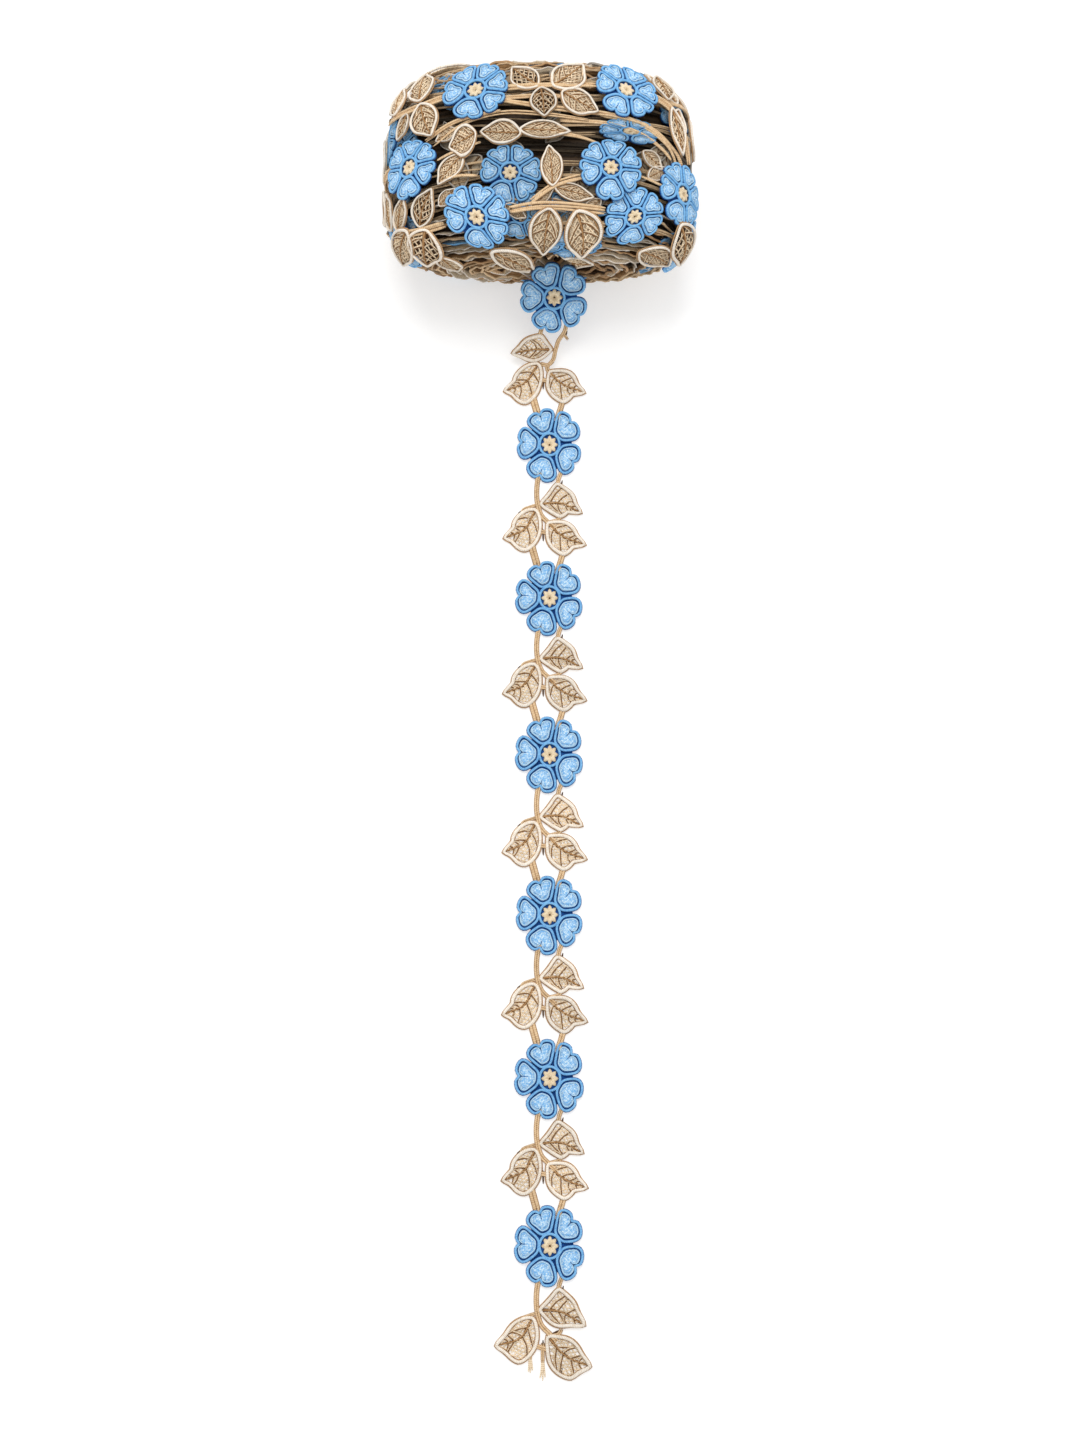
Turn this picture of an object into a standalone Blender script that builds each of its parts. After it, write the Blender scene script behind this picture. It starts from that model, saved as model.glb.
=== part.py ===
# Embroidered lace trim: a wound roll of the trim with its loose end laid out in front.
# Metres, +Z up. The roll's axis runs along Y, and the loose end runs to -Y on the floor.
# The origin is the centre of the flat spot that the roll rests on.

import math

import bmesh
import bpy
import numpy as np
from mathutils import Vector
from mathutils.geometry import delaunay_2d_cdt

MM = 0.001

# Roll, wound with no core, as a rounded barrel that lies on its side
ROLL_WIDTH = 114 * MM
ROLL_HEIGHT = 66 * MM
ROLL_HALF_LENGTH = 39 * MM
ROLL_LENGTH_GROWTH = 1.5 * MM  # the turns reach further out at the top than at the floor
ROLL_FLAT_SINK = 1.2 * MM  # how far the round form is pressed flat against the floor
AROUND_POWER = 2.5
FAR_END_POWER, FAR_END_POWER_CHANGE = 3.3, 0.6  # at the sides, and what the top loses and the bottom gains
NEAR_END_POWER, NEAR_END_POWER_CHANGE = 4.8, 1.5  # at the sides, and what the top and the bottom lose
AROUND_STEPS = 56
END_RINGS = 9
END_TURN_RIPPLE = 1.1 * MM
END_LEAF_RIPPLE = 0.8 * MM
END_LEAF_COUNT = 17
ROLL_END_FOOT = 6 * MM  # below this height the ends' ripples fade out
LACE_BAND = 46 * MM  # how far along the surface from the middle the raised lace goes
FURROWS = ((6 * MM, 3 * MM, 2.6 * MM), (-18 * MM, 2 * MM, 1.4 * MM))  # between turns: place, half width, depth

# Seat in the near end, where the loose end leans on the turns
SEAT_GAP = 0.45 * MM
SEAT_HALF_WIDTH = 14.6 * MM
SEAT_SIDE_RAMP = 4 * MM
SEAT_TOP = 37 * MM
SEAT_TOP_RAMP = 4 * MM

# Loose end
REPEAT = 59.9 * MM
STRIP_END_REACH = 17 * MM  # from the leaning flower's centre to just past the strip's upper end
FLOWER_COUNT = 7
LENGTH_STRETCH = 1.15  # the laid-out flowers are pulled a little longer than wide
FIRST_FLOOR_FLOWER_Y = -95.3 * MM
STRIP_CENTRE_X = 3.1 * MM
LEAN_START_Y = -72 * MM
LEAN_RADIUS = 20 * MM
LEAN_ANGLE = math.radians(45)

# Thread heights above the back of the lace
EDGE_HEIGHT = 1.0 * MM
CORD_HEIGHT = 2.2 * MM
FILL_HEIGHT = 1.5 * MM
CORD_INSET = 1.1 * MM
FILL_INSET = 2.3 * MM
ROLL_RIM_INSET = 1.3 * MM
ROLL_MOTIF_HEIGHT = 1.8 * MM
ROLL_STEM_HEIGHT = 1.3 * MM

# Flower
PETAL_CENTRE_RADIUS = 8.4 * MM
PETAL_RADIUS = 4.9 * MM
PETAL_WAIST = 0.38 * MM
PETAL_SPREAD = 0.55 * MM
PETAL_LOBE = 0.2 * MM
PETAL_NOTCH = 1.3 * MM
PETAL_NOTCH_ANGLE = 0.3
EYE_RADIUS = 4.6 * MM
LOOSE_PETAL_ANGLES = (176, 110, 44, -34, -109)
ROLL_PETAL_ANGLES = (168, 118, 60, 6, -48, -112)
ROLL_PETAL_SHRINK = 0.9

# Leaves of one sprig, from the flower's centre, in millimetres and degrees: centre x, centre y, long axis,
# half length, half width, then its corners, tip first, as direction, reach and spread
LEAVES = {
    "upper_right": (4.2, -22.6, 0, 5.9, 5.7, ((-28, 3.3, 18), (101, 2.2, 22), (186, 2.3, 19))),
    "lower_left": (-9.0, -33.6, 75, 7.8, 5.9, ((200, 2.6, 17), (66, 1.7, 23), (268, 0.7, 23))),
    "lower_right": (4.7, -36.2, -60, 6.5, 6.0, ((-19, 3.3, 17), (135, 1.8, 18), (-85, 1.1, 20))),
}
TURNED_LEAF = (-7.6, -21.4, 0, 5.8, 5.5, ((193, 3.0, 17), (66, 1.3, 20), (-3, 1.4, 17)))
END_LEAVES = {
    "upper_right": (3.9, -22.7, 0, 6.2, 6.0, ((-31, 4.3, 18), (95, 2.2, 21), (178, 1.9, 18))),
    "lower_left": (-10.4, -32.9, 70, 7.6, 6.2, ((193, 3.2, 18), (61, 1.8, 22), (264, 1.0, 22))),
    "lower_right": (5.4, -38.9, -62, 7.5, 6.4, ((-20, 3.2, 17), (131, 2.6, 18), (-76, 0.8, 20))),
}
CORNER_POWER = 1.4
INNER_LOOP_SHARE = 0.6  # how many points an inner loop keeps of its outline's
PETAL_POINTS = 11
LEAF_POINTS = 12

# Stems and ties of one sprig: width, then points, in millimetres from the flower's centre
STEMS = {
    "main_stem": (2.1, ((-2.8, -9), (-4.3, -13), (-4.9, -18), (-4.6, -23), (-3.2, -27.6), (-0.6, -30.4), (2.6, -33.4))),
    "flower_tie": (1.7, ((4.6, -10.5), (3.4, -13.5), (3.0, -16.5))),
    "leaf_stalk": (1.2, ((-4.6, -23.4), (-2.4, -23.0))),
    "leaf_link": (1.3, ((4.2, -27.6), (3.4, -29.4), (-0.4, -30.4))),
    "left_tendril": (1.2, ((-4.6, -22.6), (-8.4, -22.8), (-12.6, -26.8))),
    "leaf_bar": (1.6, ((-4.2, -34.0), (-0.2, -34.6))),
    "left_foot": (2.4, ((-7.0, -39.0), (-4.6, -47.5))),
    "right_foot": (1.9, ((5.0, -42.8), (3.0, -49.5))),
}
TURNED_STEMS = {
    "main_stem": (2.1, ((4.6, -10.5), (3.2, -15.0), (0.6, -20.5), (-0.6, -25.0), (-1.4, -28.8), (1.2, -33.0))),
    "flower_tie": (1.7, ((-4.6, -11.5), (-5.6, -16.5))),
    "leaf_stalk": (1.8, ((-5.4, -29.2), (-1.4, -28.8))),
    "leaf_bar": (1.6, ((-4.2, -34.0), (-0.2, -34.6))),
    "left_foot": (2.4, ((-7.0, -39.0), (-4.6, -47.5))),
    "right_foot": (1.9, ((5.0, -42.8), (3.0, -49.5))),
}
END_STEMS = {
    **STEMS,
    "leaf_link": (1.3, ((4.2, -29.0), (3.0, -31.0), (0.4, -31.4))),
    "leaf_bar": (1.6, ((-5.6, -35.0), (-0.6, -36.4))),
    "left_foot": (1.8, ((-7.4, -37.5), (-6.4, -43.5))),
    "right_foot": (1.6, ((-2.6, -34.0), (-2.6, -46.5))),
}

# Turns that show on the roll: place along the roll, first flower, flowers round it, pairs of leaves
ROLL_TURNS = {
    "far_turn": {"y": 20.0 * MM, "first": -24.5 * MM, "flowers": 6, "leaf_pairs": 2},
    "middle_turns": {"y": -8.0 * MM, "first": -11.0 * MM, "flowers": 8, "leaf_pairs": 1},
    "near_turn": {"y": -27.5 * MM, "first": -23.0 * MM, "flowers": 6, "leaf_pairs": 2},
}
ROLL_BARE_BOTTOM = 0.40  # share of the way round, from the top, past which the lace is pressed flat
ROLL_LEAF = (6.6, 5.4)  # half length and half width, in millimetres
ROLL_LEAF_TIP = (1.8, 20)  # reach and spread
ROLL_LEAF_GAP = 12.5 * MM
ROLL_STEM_WIDTH = 2.4 * MM

BLUE_THREAD = (0.16, 0.42, 0.86, 1)
BEIGE_THREAD = (0.72, 0.58, 0.42, 1)
THREAD_ROUGHNESS = 0.75


# One embroidered shape: a closed outline with a corded rim, raised above the lace
class Motif:
    def __init__(self, centre, radius_at, blue, points, heading, stretch=1.0):
        self.centre = centre
        self.heading = heading
        self.radius_at = radius_at
        self.blue = blue
        self.points = points
        self.stretch = stretch

    def loop(self, inset):
        count = self.points if inset == 0 else max(6, round(self.points * INNER_LOOP_SHARE))
        found = []
        for i in range(count):
            angle = self.heading + 2 * math.pi * i / count
            radius = max(self.radius_at(angle) - inset, 0.2 * MM)
            found.append(self.place(radius * math.cos(angle), radius * math.sin(angle)))
        return found

    def place(self, x, y):
        return (self.centre[0] + x, self.centre[1] + y * self.stretch)

    # Distance inside the rim, below zero outside it
    def depth(self, x, y):
        dx, dy = x - self.centre[0], (y - self.centre[1]) / self.stretch
        return self.radius_at(math.atan2(dy, dx)) - math.hypot(dx, dy)


def turned_to(angle):
    return (angle + math.pi) % (2 * math.pi) - math.pi


def petal_radius(heading, scale):
    def radius_at(angle):
        a = turned_to(angle - heading)
        heart = PETAL_RADIUS + PETAL_SPREAD * math.cos(a) - PETAL_WAIST * math.cos(2 * a)
        lobes = PETAL_LOBE * math.cos(3 * a)
        notch = PETAL_NOTCH * math.exp(-((a / PETAL_NOTCH_ANGLE) ** 2))
        return scale * (heart - lobes - notch)

    return radius_at


# A leaf is an oval drawn out to its corners: the tip, and where it meets its stem and neighbours
def leaf_radius(axis, half_length, half_width, corners):
    def radius_at(angle):
        a = angle - math.radians(axis)
        radius = half_length * half_width / math.hypot(half_width * math.cos(a), half_length * math.sin(a))
        for direction, reach, spread in corners:
            away = abs(turned_to(angle - math.radians(direction))) / math.radians(spread)
            radius += reach * math.exp(-(away**CORNER_POWER))
        return radius * MM

    return radius_at


def flower(x, y, petal_angles, shrink, stretch, points):
    motifs = []
    for degrees in petal_angles:
        heading = math.radians(degrees)
        centre = (
            x + PETAL_CENTRE_RADIUS * math.cos(heading),
            y + PETAL_CENTRE_RADIUS * math.sin(heading) * stretch,
        )
        motifs.append(Motif(centre, petal_radius(heading, shrink), True, points, heading, stretch))
    motifs.append(Motif((x, y), lambda angle: EYE_RADIUS, True, points, 0, stretch))
    return motifs


def leaf(x, y, row, points):
    cx, cy, *shape = row
    tip = math.radians(shape[-1][0][0])
    return Motif((x + cx * MM, y + cy * MM), leaf_radius(*shape), False, points, tip)


# A stem is a ribbon of thread round a line, higher along its middle
class Stem:
    def __init__(self, points, width):
        self.points = [Vector(p) for p in points]
        self.width = width
        self.blue = False

    def outline(self):
        left, right = [], []
        for i, p in enumerate(self.points):
            before = self.points[max(i - 1, 0)]
            after = self.points[min(i + 1, len(self.points) - 1)]
            ahead = (after - before).normalized() * self.width / 2
            left.append((p.x - ahead.y, p.y + ahead.x))
            right.append((p.x + ahead.y, p.y - ahead.x))
        return right + left[::-1]

    def depth(self, x, y):
        spot, nearest = Vector((x, y)), math.inf
        for a, b in zip(self.points, self.points[1:]):
            along = min(max((spot - a).dot(b - a) / (b - a).length_squared, 0), 1)
            nearest = min(nearest, (spot - a - (b - a) * along).length)
        return self.width / 2 - nearest


def stems(x, y, table):
    made = []
    for width, points in table.values():
        made.append(Stem([(x + px * MM, y + py * MM) for px, py in points], width * MM))
    return made


# Triangles of all the outlines laid over each other, as points and faces with the shapes they lie in
def overlay(motifs, stem_list, insets, extra_points=(), extra_faces=()):
    points, loops, owners = list(extra_points), [list(f) for f in extra_faces], []
    owners += [None] * len(loops)

    def add(loop, owner):
        start = len(points)
        points.extend(loop)
        loops.append(list(range(start, len(points))))
        owners.append(owner)

    for motif in motifs:
        for inset in insets:
            add(motif.loop(inset), motif)
    for stem in stem_list:
        add(stem.outline(), stem)
    found = delaunay_2d_cdt([Vector(p) for p in points], [], loops, 0, 1e-6)
    places, faces, sources = found[0], found[2], found[5]
    return places, [(f, [owners[i] for i in s]) for f, s in zip(faces, sources)]


def rim_profile(depth, edge, cord, fill):
    return float(np.interp(depth, (0, CORD_INSET, FILL_INSET), (edge, cord, fill)))


def lace_height(x, y, motifs, stem_list, edge, cord, fill, stem_top):
    height = edge
    for motif in motifs:
        depth = motif.depth(x, y)
        if depth > 0:
            height = max(height, rim_profile(depth, edge, cord, fill))
    for stem in stem_list:
        depth = stem.depth(x, y)
        if depth > 0:
            height = max(height, edge + (stem_top - edge) * min(1, depth / CORD_INSET))
    return height


# Where the strip's back lies, for a distance along the strip: flat on the floor, then up against the roll
def strip_place(x, along, height):
    past = along - LEAN_START_Y
    if past <= 0:
        return Vector((x, along, height))
    bend = min(past / LEAN_RADIUS, LEAN_ANGLE)
    straight = max(past - LEAN_RADIUS * LEAN_ANGLE, 0)
    y = LEAN_START_Y + LEAN_RADIUS * math.sin(bend) + straight * math.cos(bend)
    z = LEAN_RADIUS * (1 - math.cos(bend)) + straight * math.sin(bend)
    return Vector((x, y - height * math.sin(bend), z + height * math.cos(bend)))


def thread_material(name, colour):
    material = bpy.data.materials.new(name)
    material.use_nodes = True
    shader = material.node_tree.nodes["Principled BSDF"]
    shader.inputs["Base Color"].default_value = colour
    shader.inputs["Roughness"].default_value = THREAD_ROUGHNESS
    shader.inputs["Metallic"].default_value = 0
    return material


def add_object(name, mesh_builder, materials):
    mesh = bpy.data.meshes.new(name)
    for material in materials:
        mesh.materials.append(material)
    bm = bmesh.new()
    mesh_builder(bm)
    bmesh.ops.recalc_face_normals(bm, faces=bm.faces)
    bm.to_mesh(mesh)
    bm.free()
    mesh.shade_smooth()
    mesh.set_sharp_from_angle(angle=math.radians(50))
    made = bpy.data.objects.new(name, mesh)
    bpy.context.scene.collection.objects.link(made)
    return made


def loose_end_shapes():
    motifs, stem_list = [], []
    for k in range(FLOWER_COUNT):
        y = FIRST_FLOOR_FLOWER_Y + REPEAT - k * REPEAT
        leaves, stem_table = dict(LEAVES), STEMS
        if k == 0:
            leaves["upper_right"], stem_table = TURNED_LEAF, TURNED_STEMS
        if k == FLOWER_COUNT - 1:
            leaves, stem_table = END_LEAVES, END_STEMS
        motifs += flower(STRIP_CENTRE_X, y, LOOSE_PETAL_ANGLES, 1.0, LENGTH_STRETCH, PETAL_POINTS)
        motifs += [leaf(STRIP_CENTRE_X, y, row, LEAF_POINTS) for row in leaves.values()]
        stem_list += stems(STRIP_CENTRE_X, y, stem_table)
    return motifs, stem_list


def build_loose_end(bm):
    motifs, stem_list = loose_end_shapes()
    places, cells = overlay(motifs, stem_list, (0, CORD_INSET, FILL_INSET))
    cells = [(face, owners) for face, owners in cells if owners]
    tops, backs = {}, {}
    for face, _ in cells:
        for i in face:
            if i in tops:
                continue
            x, y = places[i]
            height = lace_height(x, y, motifs, stem_list, EDGE_HEIGHT, CORD_HEIGHT, FILL_HEIGHT, CORD_HEIGHT)
            tops[i] = bm.verts.new(strip_place(x, y, height))
            backs[i] = bm.verts.new(strip_place(x, y, 0))
    sides = set()
    for face, owners in cells:
        colour = 0 if any(owner.blue for owner in owners) else 1
        bm.faces.new([tops[i] for i in face]).material_index = colour
        bm.faces.new([backs[i] for i in reversed(face)]).material_index = colour
        for a, b in zip(face, face[1:] + face[:1]):
            if (b, a) in sides:
                sides.remove((b, a))
            else:
                sides.add((a, b))
    for a, b in sorted(sides):
        wall = bm.faces.new((tops[b], tops[a], backs[a], backs[b]))
        wall.material_index = 1


# Even steps along a curve, from a table of its own points
def even_table(curve, start, stop, steps=2000):
    angles = np.linspace(start, stop, steps)
    points = np.array([curve(a) for a in angles])
    arc = np.concatenate([[0], np.cumsum(np.linalg.norm(np.diff(points, axis=0), axis=1))])
    return arc, angles


def power_of(value, exponent):
    return math.copysign(abs(value) ** exponent, value)


def ring_point(angle):
    share = 2 / AROUND_POWER
    x = ROLL_WIDTH / 2 * power_of(math.sin(angle), share)
    z = ROLL_HEIGHT / 2 * power_of(math.cos(angle), share)
    return x, z


def profile_point(angle, half_length, exponent):
    share = 2 / exponent
    return half_length * power_of(math.sin(angle), share), power_of(math.cos(angle), share)


AROUND_ARC, AROUND_ANGLE = even_table(ring_point, -math.pi, math.pi)
ROLL_GIRTH = AROUND_ARC[-1]
MEAN_RADIUS = ROLL_GIRTH / 2 / math.pi
ALONG_ARC, ALONG_ANGLE = even_table(
    lambda a: np.multiply(profile_point(a, ROLL_HALF_LENGTH, FAR_END_POWER), (1, MEAN_RADIUS)),
    -math.pi / 2,
    math.pi / 2,
)
ALONG_TOTAL = ALONG_ARC[-1]


# A point of the roll's bare form. around and along are distances over the surface from its top middle.
def bare_roll_point(around, along):
    angle = float(np.interp(around + ROLL_GIRTH / 2, AROUND_ARC, AROUND_ANGLE))
    x, z = ring_point(angle)
    upward = z / (ROLL_HEIGHT / 2)
    profile_angle = float(np.interp(along + ALONG_TOTAL / 2, ALONG_ARC, ALONG_ANGLE))
    half_length = ROLL_HALF_LENGTH + ROLL_LENGTH_GROWTH * upward
    power = FAR_END_POWER - FAR_END_POWER_CHANGE * upward
    if along < 0:
        power = NEAR_END_POWER - NEAR_END_POWER_CHANGE * abs(upward)
    y, share = profile_point(profile_angle, half_length, power)
    return Vector((x * share, y, z * share))


# How far the near end is pressed in, so that it lies behind the loose end's back
def seat_depth(point):
    if point.y > 0:
        return 0.0
    bend_top = LEAN_RADIUS * (1 - math.cos(LEAN_ANGLE))
    low = min(max(point.z, 0), bend_top)
    back = LEAN_START_Y + math.sqrt(LEAN_RADIUS**2 - (LEAN_RADIUS - low) ** 2)
    back += max(point.z - bend_top, 0) / math.tan(LEAN_ANGLE)
    strip_end = strip_place(0, FIRST_FLOOR_FLOWER_Y + REPEAT + STRIP_END_REACH, 0).y
    beside = abs(point.x - STRIP_CENTRE_X) - SEAT_HALF_WIDTH
    above = point.z - SEAT_TOP
    share = min(1, max(0, 1 - beside / SEAT_SIDE_RAMP)) * min(1, max(0, 1 - above / SEAT_TOP_RAMP))
    return max(min(back, strip_end) + SEAT_GAP - point.y, 0) * share


def roll_point(around, along, height, outward=0.0):
    step = 0.4 * MM
    inner_along = min(max(along, -ALONG_TOTAL / 2 + step), ALONG_TOTAL / 2 - step)
    across = bare_roll_point(around + step, inner_along) - bare_roll_point(around - step, inner_along)
    ahead = bare_roll_point(around, inner_along + step) - bare_roll_point(around, inner_along - step)
    point = bare_roll_point(around, along) + ahead.cross(across).normalized() * -height
    point.z += ROLL_HEIGHT / 2 - ROLL_FLAT_SINK
    point.y += outward * min(1, max(0, point.z) / ROLL_END_FOOT)
    point.y += seat_depth(point)
    point.z = max(point.z, 0)
    return point


# The deep lines left between turns that lie side by side
def furrow(along):
    return max(depth * max(0, 1 - abs(along - place) / half) for place, half, depth in FURROWS)


def roll_shapes():
    motifs, stem_list = [], []
    for turn in ROLL_TURNS.values():
        repeat = ROLL_GIRTH / turn["flowers"]
        for k in range(turn["flowers"]):
            around = turn["first"] + k * repeat
            around -= ROLL_GIRTH * round(around / ROLL_GIRTH)
            if abs(around) < ROLL_GIRTH * ROLL_BARE_BOTTOM:
                motifs += flower(around, turn["y"], ROLL_PETAL_ANGLES, ROLL_PETAL_SHRINK, 1.0, 9)
            middle = around + repeat / 2
            if abs(middle) + repeat / 2 > ROLL_GIRTH * (ROLL_BARE_BOTTOM + 0.05):
                continue
            ends = ((around + 10 * MM, turn["y"]), (around + repeat - 10 * MM, turn["y"]))
            stem_list.append(Stem(ends, ROLL_STEM_WIDTH))
            for pair in range(turn["leaf_pairs"]):
                x = middle + (pair - (turn["leaf_pairs"] - 1) / 2) * ROLL_LEAF_GAP
                for side in (-1, 1):
                    shape = leaf_radius(90, *ROLL_LEAF, ((90 * side, *ROLL_LEAF_TIP),))
                    centre = (x, turn["y"] + side * 7.5 * MM)
                    motifs.append(Motif(centre, shape, False, 8, math.radians(90 * side)))
    return motifs, stem_list


def build_roll(bm):
    motifs, stem_list = roll_shapes()
    rim = [(-ROLL_GIRTH / 2 + ROLL_GIRTH * i / AROUND_STEPS) for i in range(AROUND_STEPS + 1)]
    rows = [-LACE_BAND, -32 * MM, 20 * MM, 34 * MM, LACE_BAND]
    rows += [place + half * side for place, half, _ in FURROWS for side in (-1, 0, 1)]
    rows.sort()
    near = [(x, -LACE_BAND) for x in rim]
    far = [(x, LACE_BAND) for x in reversed(rim)]
    right = [(rim[-1], y) for y in rows[1:-1]]
    left = [(rim[0], y) for y in reversed(rows[1:-1])]
    border = near + right + far + left
    inner = [(x, y) for y in rows[1:-1] for x in rim[1:-1:3]]
    points = border + inner
    places, cells = overlay(motifs, stem_list, (0, ROLL_RIM_INSET), points, [range(len(border))])
    verts, seam = {}, {}

    def vertex(i):
        if i in verts:
            return verts[i]
        x, y = places[i]
        if x > ROLL_GIRTH / 2 - 1e-6:  # the seam at the bottom is one row of points
            key = round(y / MM, 3)
            verts[i] = seam[key]
            return verts[i]
        inside = abs(y) < LACE_BAND - 1e-6
        height = lace_height(x, y, motifs, stem_list, 0, ROLL_MOTIF_HEIGHT, ROLL_MOTIF_HEIGHT, ROLL_STEM_HEIGHT)
        if height <= 0:
            height = -furrow(y)
        verts[i] = bm.verts.new(roll_point(x, y, height if inside else 0))
        if x < -ROLL_GIRTH / 2 + 1e-6:
            seam[round(y / MM, 3)] = verts[i]
        return verts[i]

    order = sorted(range(len(places)), key=lambda i: places[i][0])
    for i in order:
        vertex(i)
    for face, owners in cells:
        if not owners:
            continue
        colour = 0 if any(owner is not None and owner.blue for owner in owners) else 1
        bm.faces.new([verts[i] for i in face]).material_index = colour
    for side in (-1, 1):
        edge = [i for i in range(len(places)) if abs(places[i][1] - side * LACE_BAND) < 1e-6]
        edge.sort(key=lambda i: places[i][0])
        build_end(bm, [verts[i] for i in edge[:-1]], [places[i][0] for i in edge[:-1]], side)


# One end of the roll: rings that step in and out as the turns' edges and leaf tips do
def build_end(bm, ring, arounds, side):
    reach = ALONG_TOTAL / 2 - LACE_BAND
    for k in range(1, END_RINGS + 1):
        along = side * (LACE_BAND + reach * k / (END_RINGS + 0.15))
        fade = 1 - k / (END_RINGS + 1)
        following = []
        for around in arounds:
            tips = math.sin(2 * math.pi * END_LEAF_COUNT * around / ROLL_GIRTH + 2.1 * k)
            out = END_TURN_RIPPLE * (1 if k % 2 else -1) + END_LEAF_RIPPLE * fade * tips
            following.append(bm.verts.new(roll_point(around, along, 0, side * out)))
        for i in range(len(ring)):
            j = (i + 1) % len(ring)
            bm.faces.new((ring[i], ring[j], following[j], following[i])).material_index = 1
        ring = following
    bm.faces.new(ring).material_index = 1


def main():
    for old in list(bpy.data.objects):
        bpy.data.objects.remove(old)
    threads = [thread_material("blue_thread", BLUE_THREAD), thread_material("beige_thread", BEIGE_THREAD)]
    add_object("wound_roll", build_roll, threads)
    add_object("loose_end", build_loose_end, threads)


main()
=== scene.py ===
# Embroidered lace trim: the looks of a wound roll of corded lace and of its loose end.
import math
import random

import bpy
import numpy as np
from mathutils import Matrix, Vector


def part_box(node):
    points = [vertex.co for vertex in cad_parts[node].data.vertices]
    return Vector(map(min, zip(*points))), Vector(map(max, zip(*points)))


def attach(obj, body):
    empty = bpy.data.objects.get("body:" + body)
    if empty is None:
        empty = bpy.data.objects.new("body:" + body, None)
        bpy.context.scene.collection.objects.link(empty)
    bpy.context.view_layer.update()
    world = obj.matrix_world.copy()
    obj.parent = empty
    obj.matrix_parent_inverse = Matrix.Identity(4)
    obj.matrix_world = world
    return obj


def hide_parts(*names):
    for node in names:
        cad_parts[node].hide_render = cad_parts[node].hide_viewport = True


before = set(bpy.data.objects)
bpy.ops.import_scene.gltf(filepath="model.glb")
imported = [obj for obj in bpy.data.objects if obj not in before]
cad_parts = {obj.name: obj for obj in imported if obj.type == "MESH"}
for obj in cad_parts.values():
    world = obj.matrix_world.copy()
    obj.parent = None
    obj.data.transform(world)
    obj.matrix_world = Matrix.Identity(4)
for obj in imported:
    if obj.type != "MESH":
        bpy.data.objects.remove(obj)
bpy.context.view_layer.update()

mm = 0.001
bpy.ops.object.select_all(action="DESELECT")

# the picture and the camera that took it, fitted to the even repeats of the loose end
picture = {
    "width": 1086,
    "height": 1448,
    "lensPixels": 2400,
    "tilt": math.radians(9.5),  # from straight down
    "distance": 0.9,
    "centreX": 0.0006,
    "centreY": -0.2033,
}


def addCamera():
    data = bpy.data.cameras.new("camera")
    data.sensor_width = 36
    data.lens = picture["lensPixels"] / picture["height"] * data.sensor_width
    data.clip_start = 0.01
    data.clip_end = 20
    camera = bpy.data.objects.new("camera", data)
    bpy.context.scene.collection.objects.link(camera)
    tilt, far = picture["tilt"], picture["distance"]
    camera.location = (
        picture["centreX"],
        picture["centreY"] - far * math.sin(tilt),
        far * math.cos(tilt),
    )
    camera.rotation_euler = (tilt, 0, 0)
    bpy.context.scene.camera = camera


def inPicture(points):  # pixels of the points, as the camera sees them
    tilt, far = picture["tilt"], picture["distance"]
    x = points[..., 0] - picture["centreX"]
    y = points[..., 1] - picture["centreY"]
    z = points[..., 2]
    depth = far + y * math.sin(tilt) - z * math.cos(tilt)
    across = picture["width"] / 2 + picture["lensPixels"] * x / depth
    down = picture["height"] / 2 - picture["lensPixels"] * (y * math.cos(tilt) + z * math.sin(tilt)) / depth
    return np.stack([across, down], axis=-1)


addCamera()
print("camera placed")

# threads, and the materials that they are made of
def addNode(tree, kind, inputs, **settings):  # an input is given a value or the socket that feeds it
    node = tree.nodes.new("ShaderNode" + kind)
    for name, value in settings.items():
        setattr(node, name, value)
    wire(tree, node, inputs)
    return node


def wire(tree, node, inputs):
    for name, value in inputs.items():
        if isinstance(value, bpy.types.NodeSocket):
            tree.links.new(value, node.inputs[name])
        else:
            node.inputs[name].default_value = value


def startMaterial(name, inputs):
    material = bpy.data.materials.new(name)
    material.use_nodes = True
    tree = material.node_tree
    shader = tree.nodes["Principled BSDF"]
    wire(tree, shader, inputs)
    return material, tree, shader


def threadMaterial(name, roughness, sheen):
    values = {"Roughness": roughness, "Metallic": 0, "Specular IOR Level": 0.2}
    return startMaterial(name, {**values, "Sheen Weight": sheen, "Sheen Roughness": 0.4})


def colourAndRelief(tree, shader, level, low, high, relief, invert=False):
    ramp = addNode(tree, "ValToRGB", {0: level})
    for element, (position, colour) in zip(ramp.color_ramp.elements, (low, high)):
        element.position = position
        element.color = (*colour, 1)
    # the tint varies each motif's tone at random, and darkens deep and low turns and webs as painted shade
    tint = addNode(tree, "Attribute", {}, attribute_name="tint")  # how light or dark each motif came out
    grey = addNode(tree, "CombineColor", {channel: tint.outputs["Fac"] for channel in range(3)})
    colour = addNode(tree, "MixRGB", {0: 1, 1: ramp.outputs[0], 2: grey.outputs[0]}, blend_type="MULTIPLY")
    height, strength, depth = relief
    shape = {"Strength": strength, "Distance": depth * mm, "Height": height}
    bump = addNode(tree, "Bump", shape, invert=invert)
    wire(tree, shader, {"Base Color": colour.outputs[0], "Normal": bump.outputs[0]})


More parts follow.
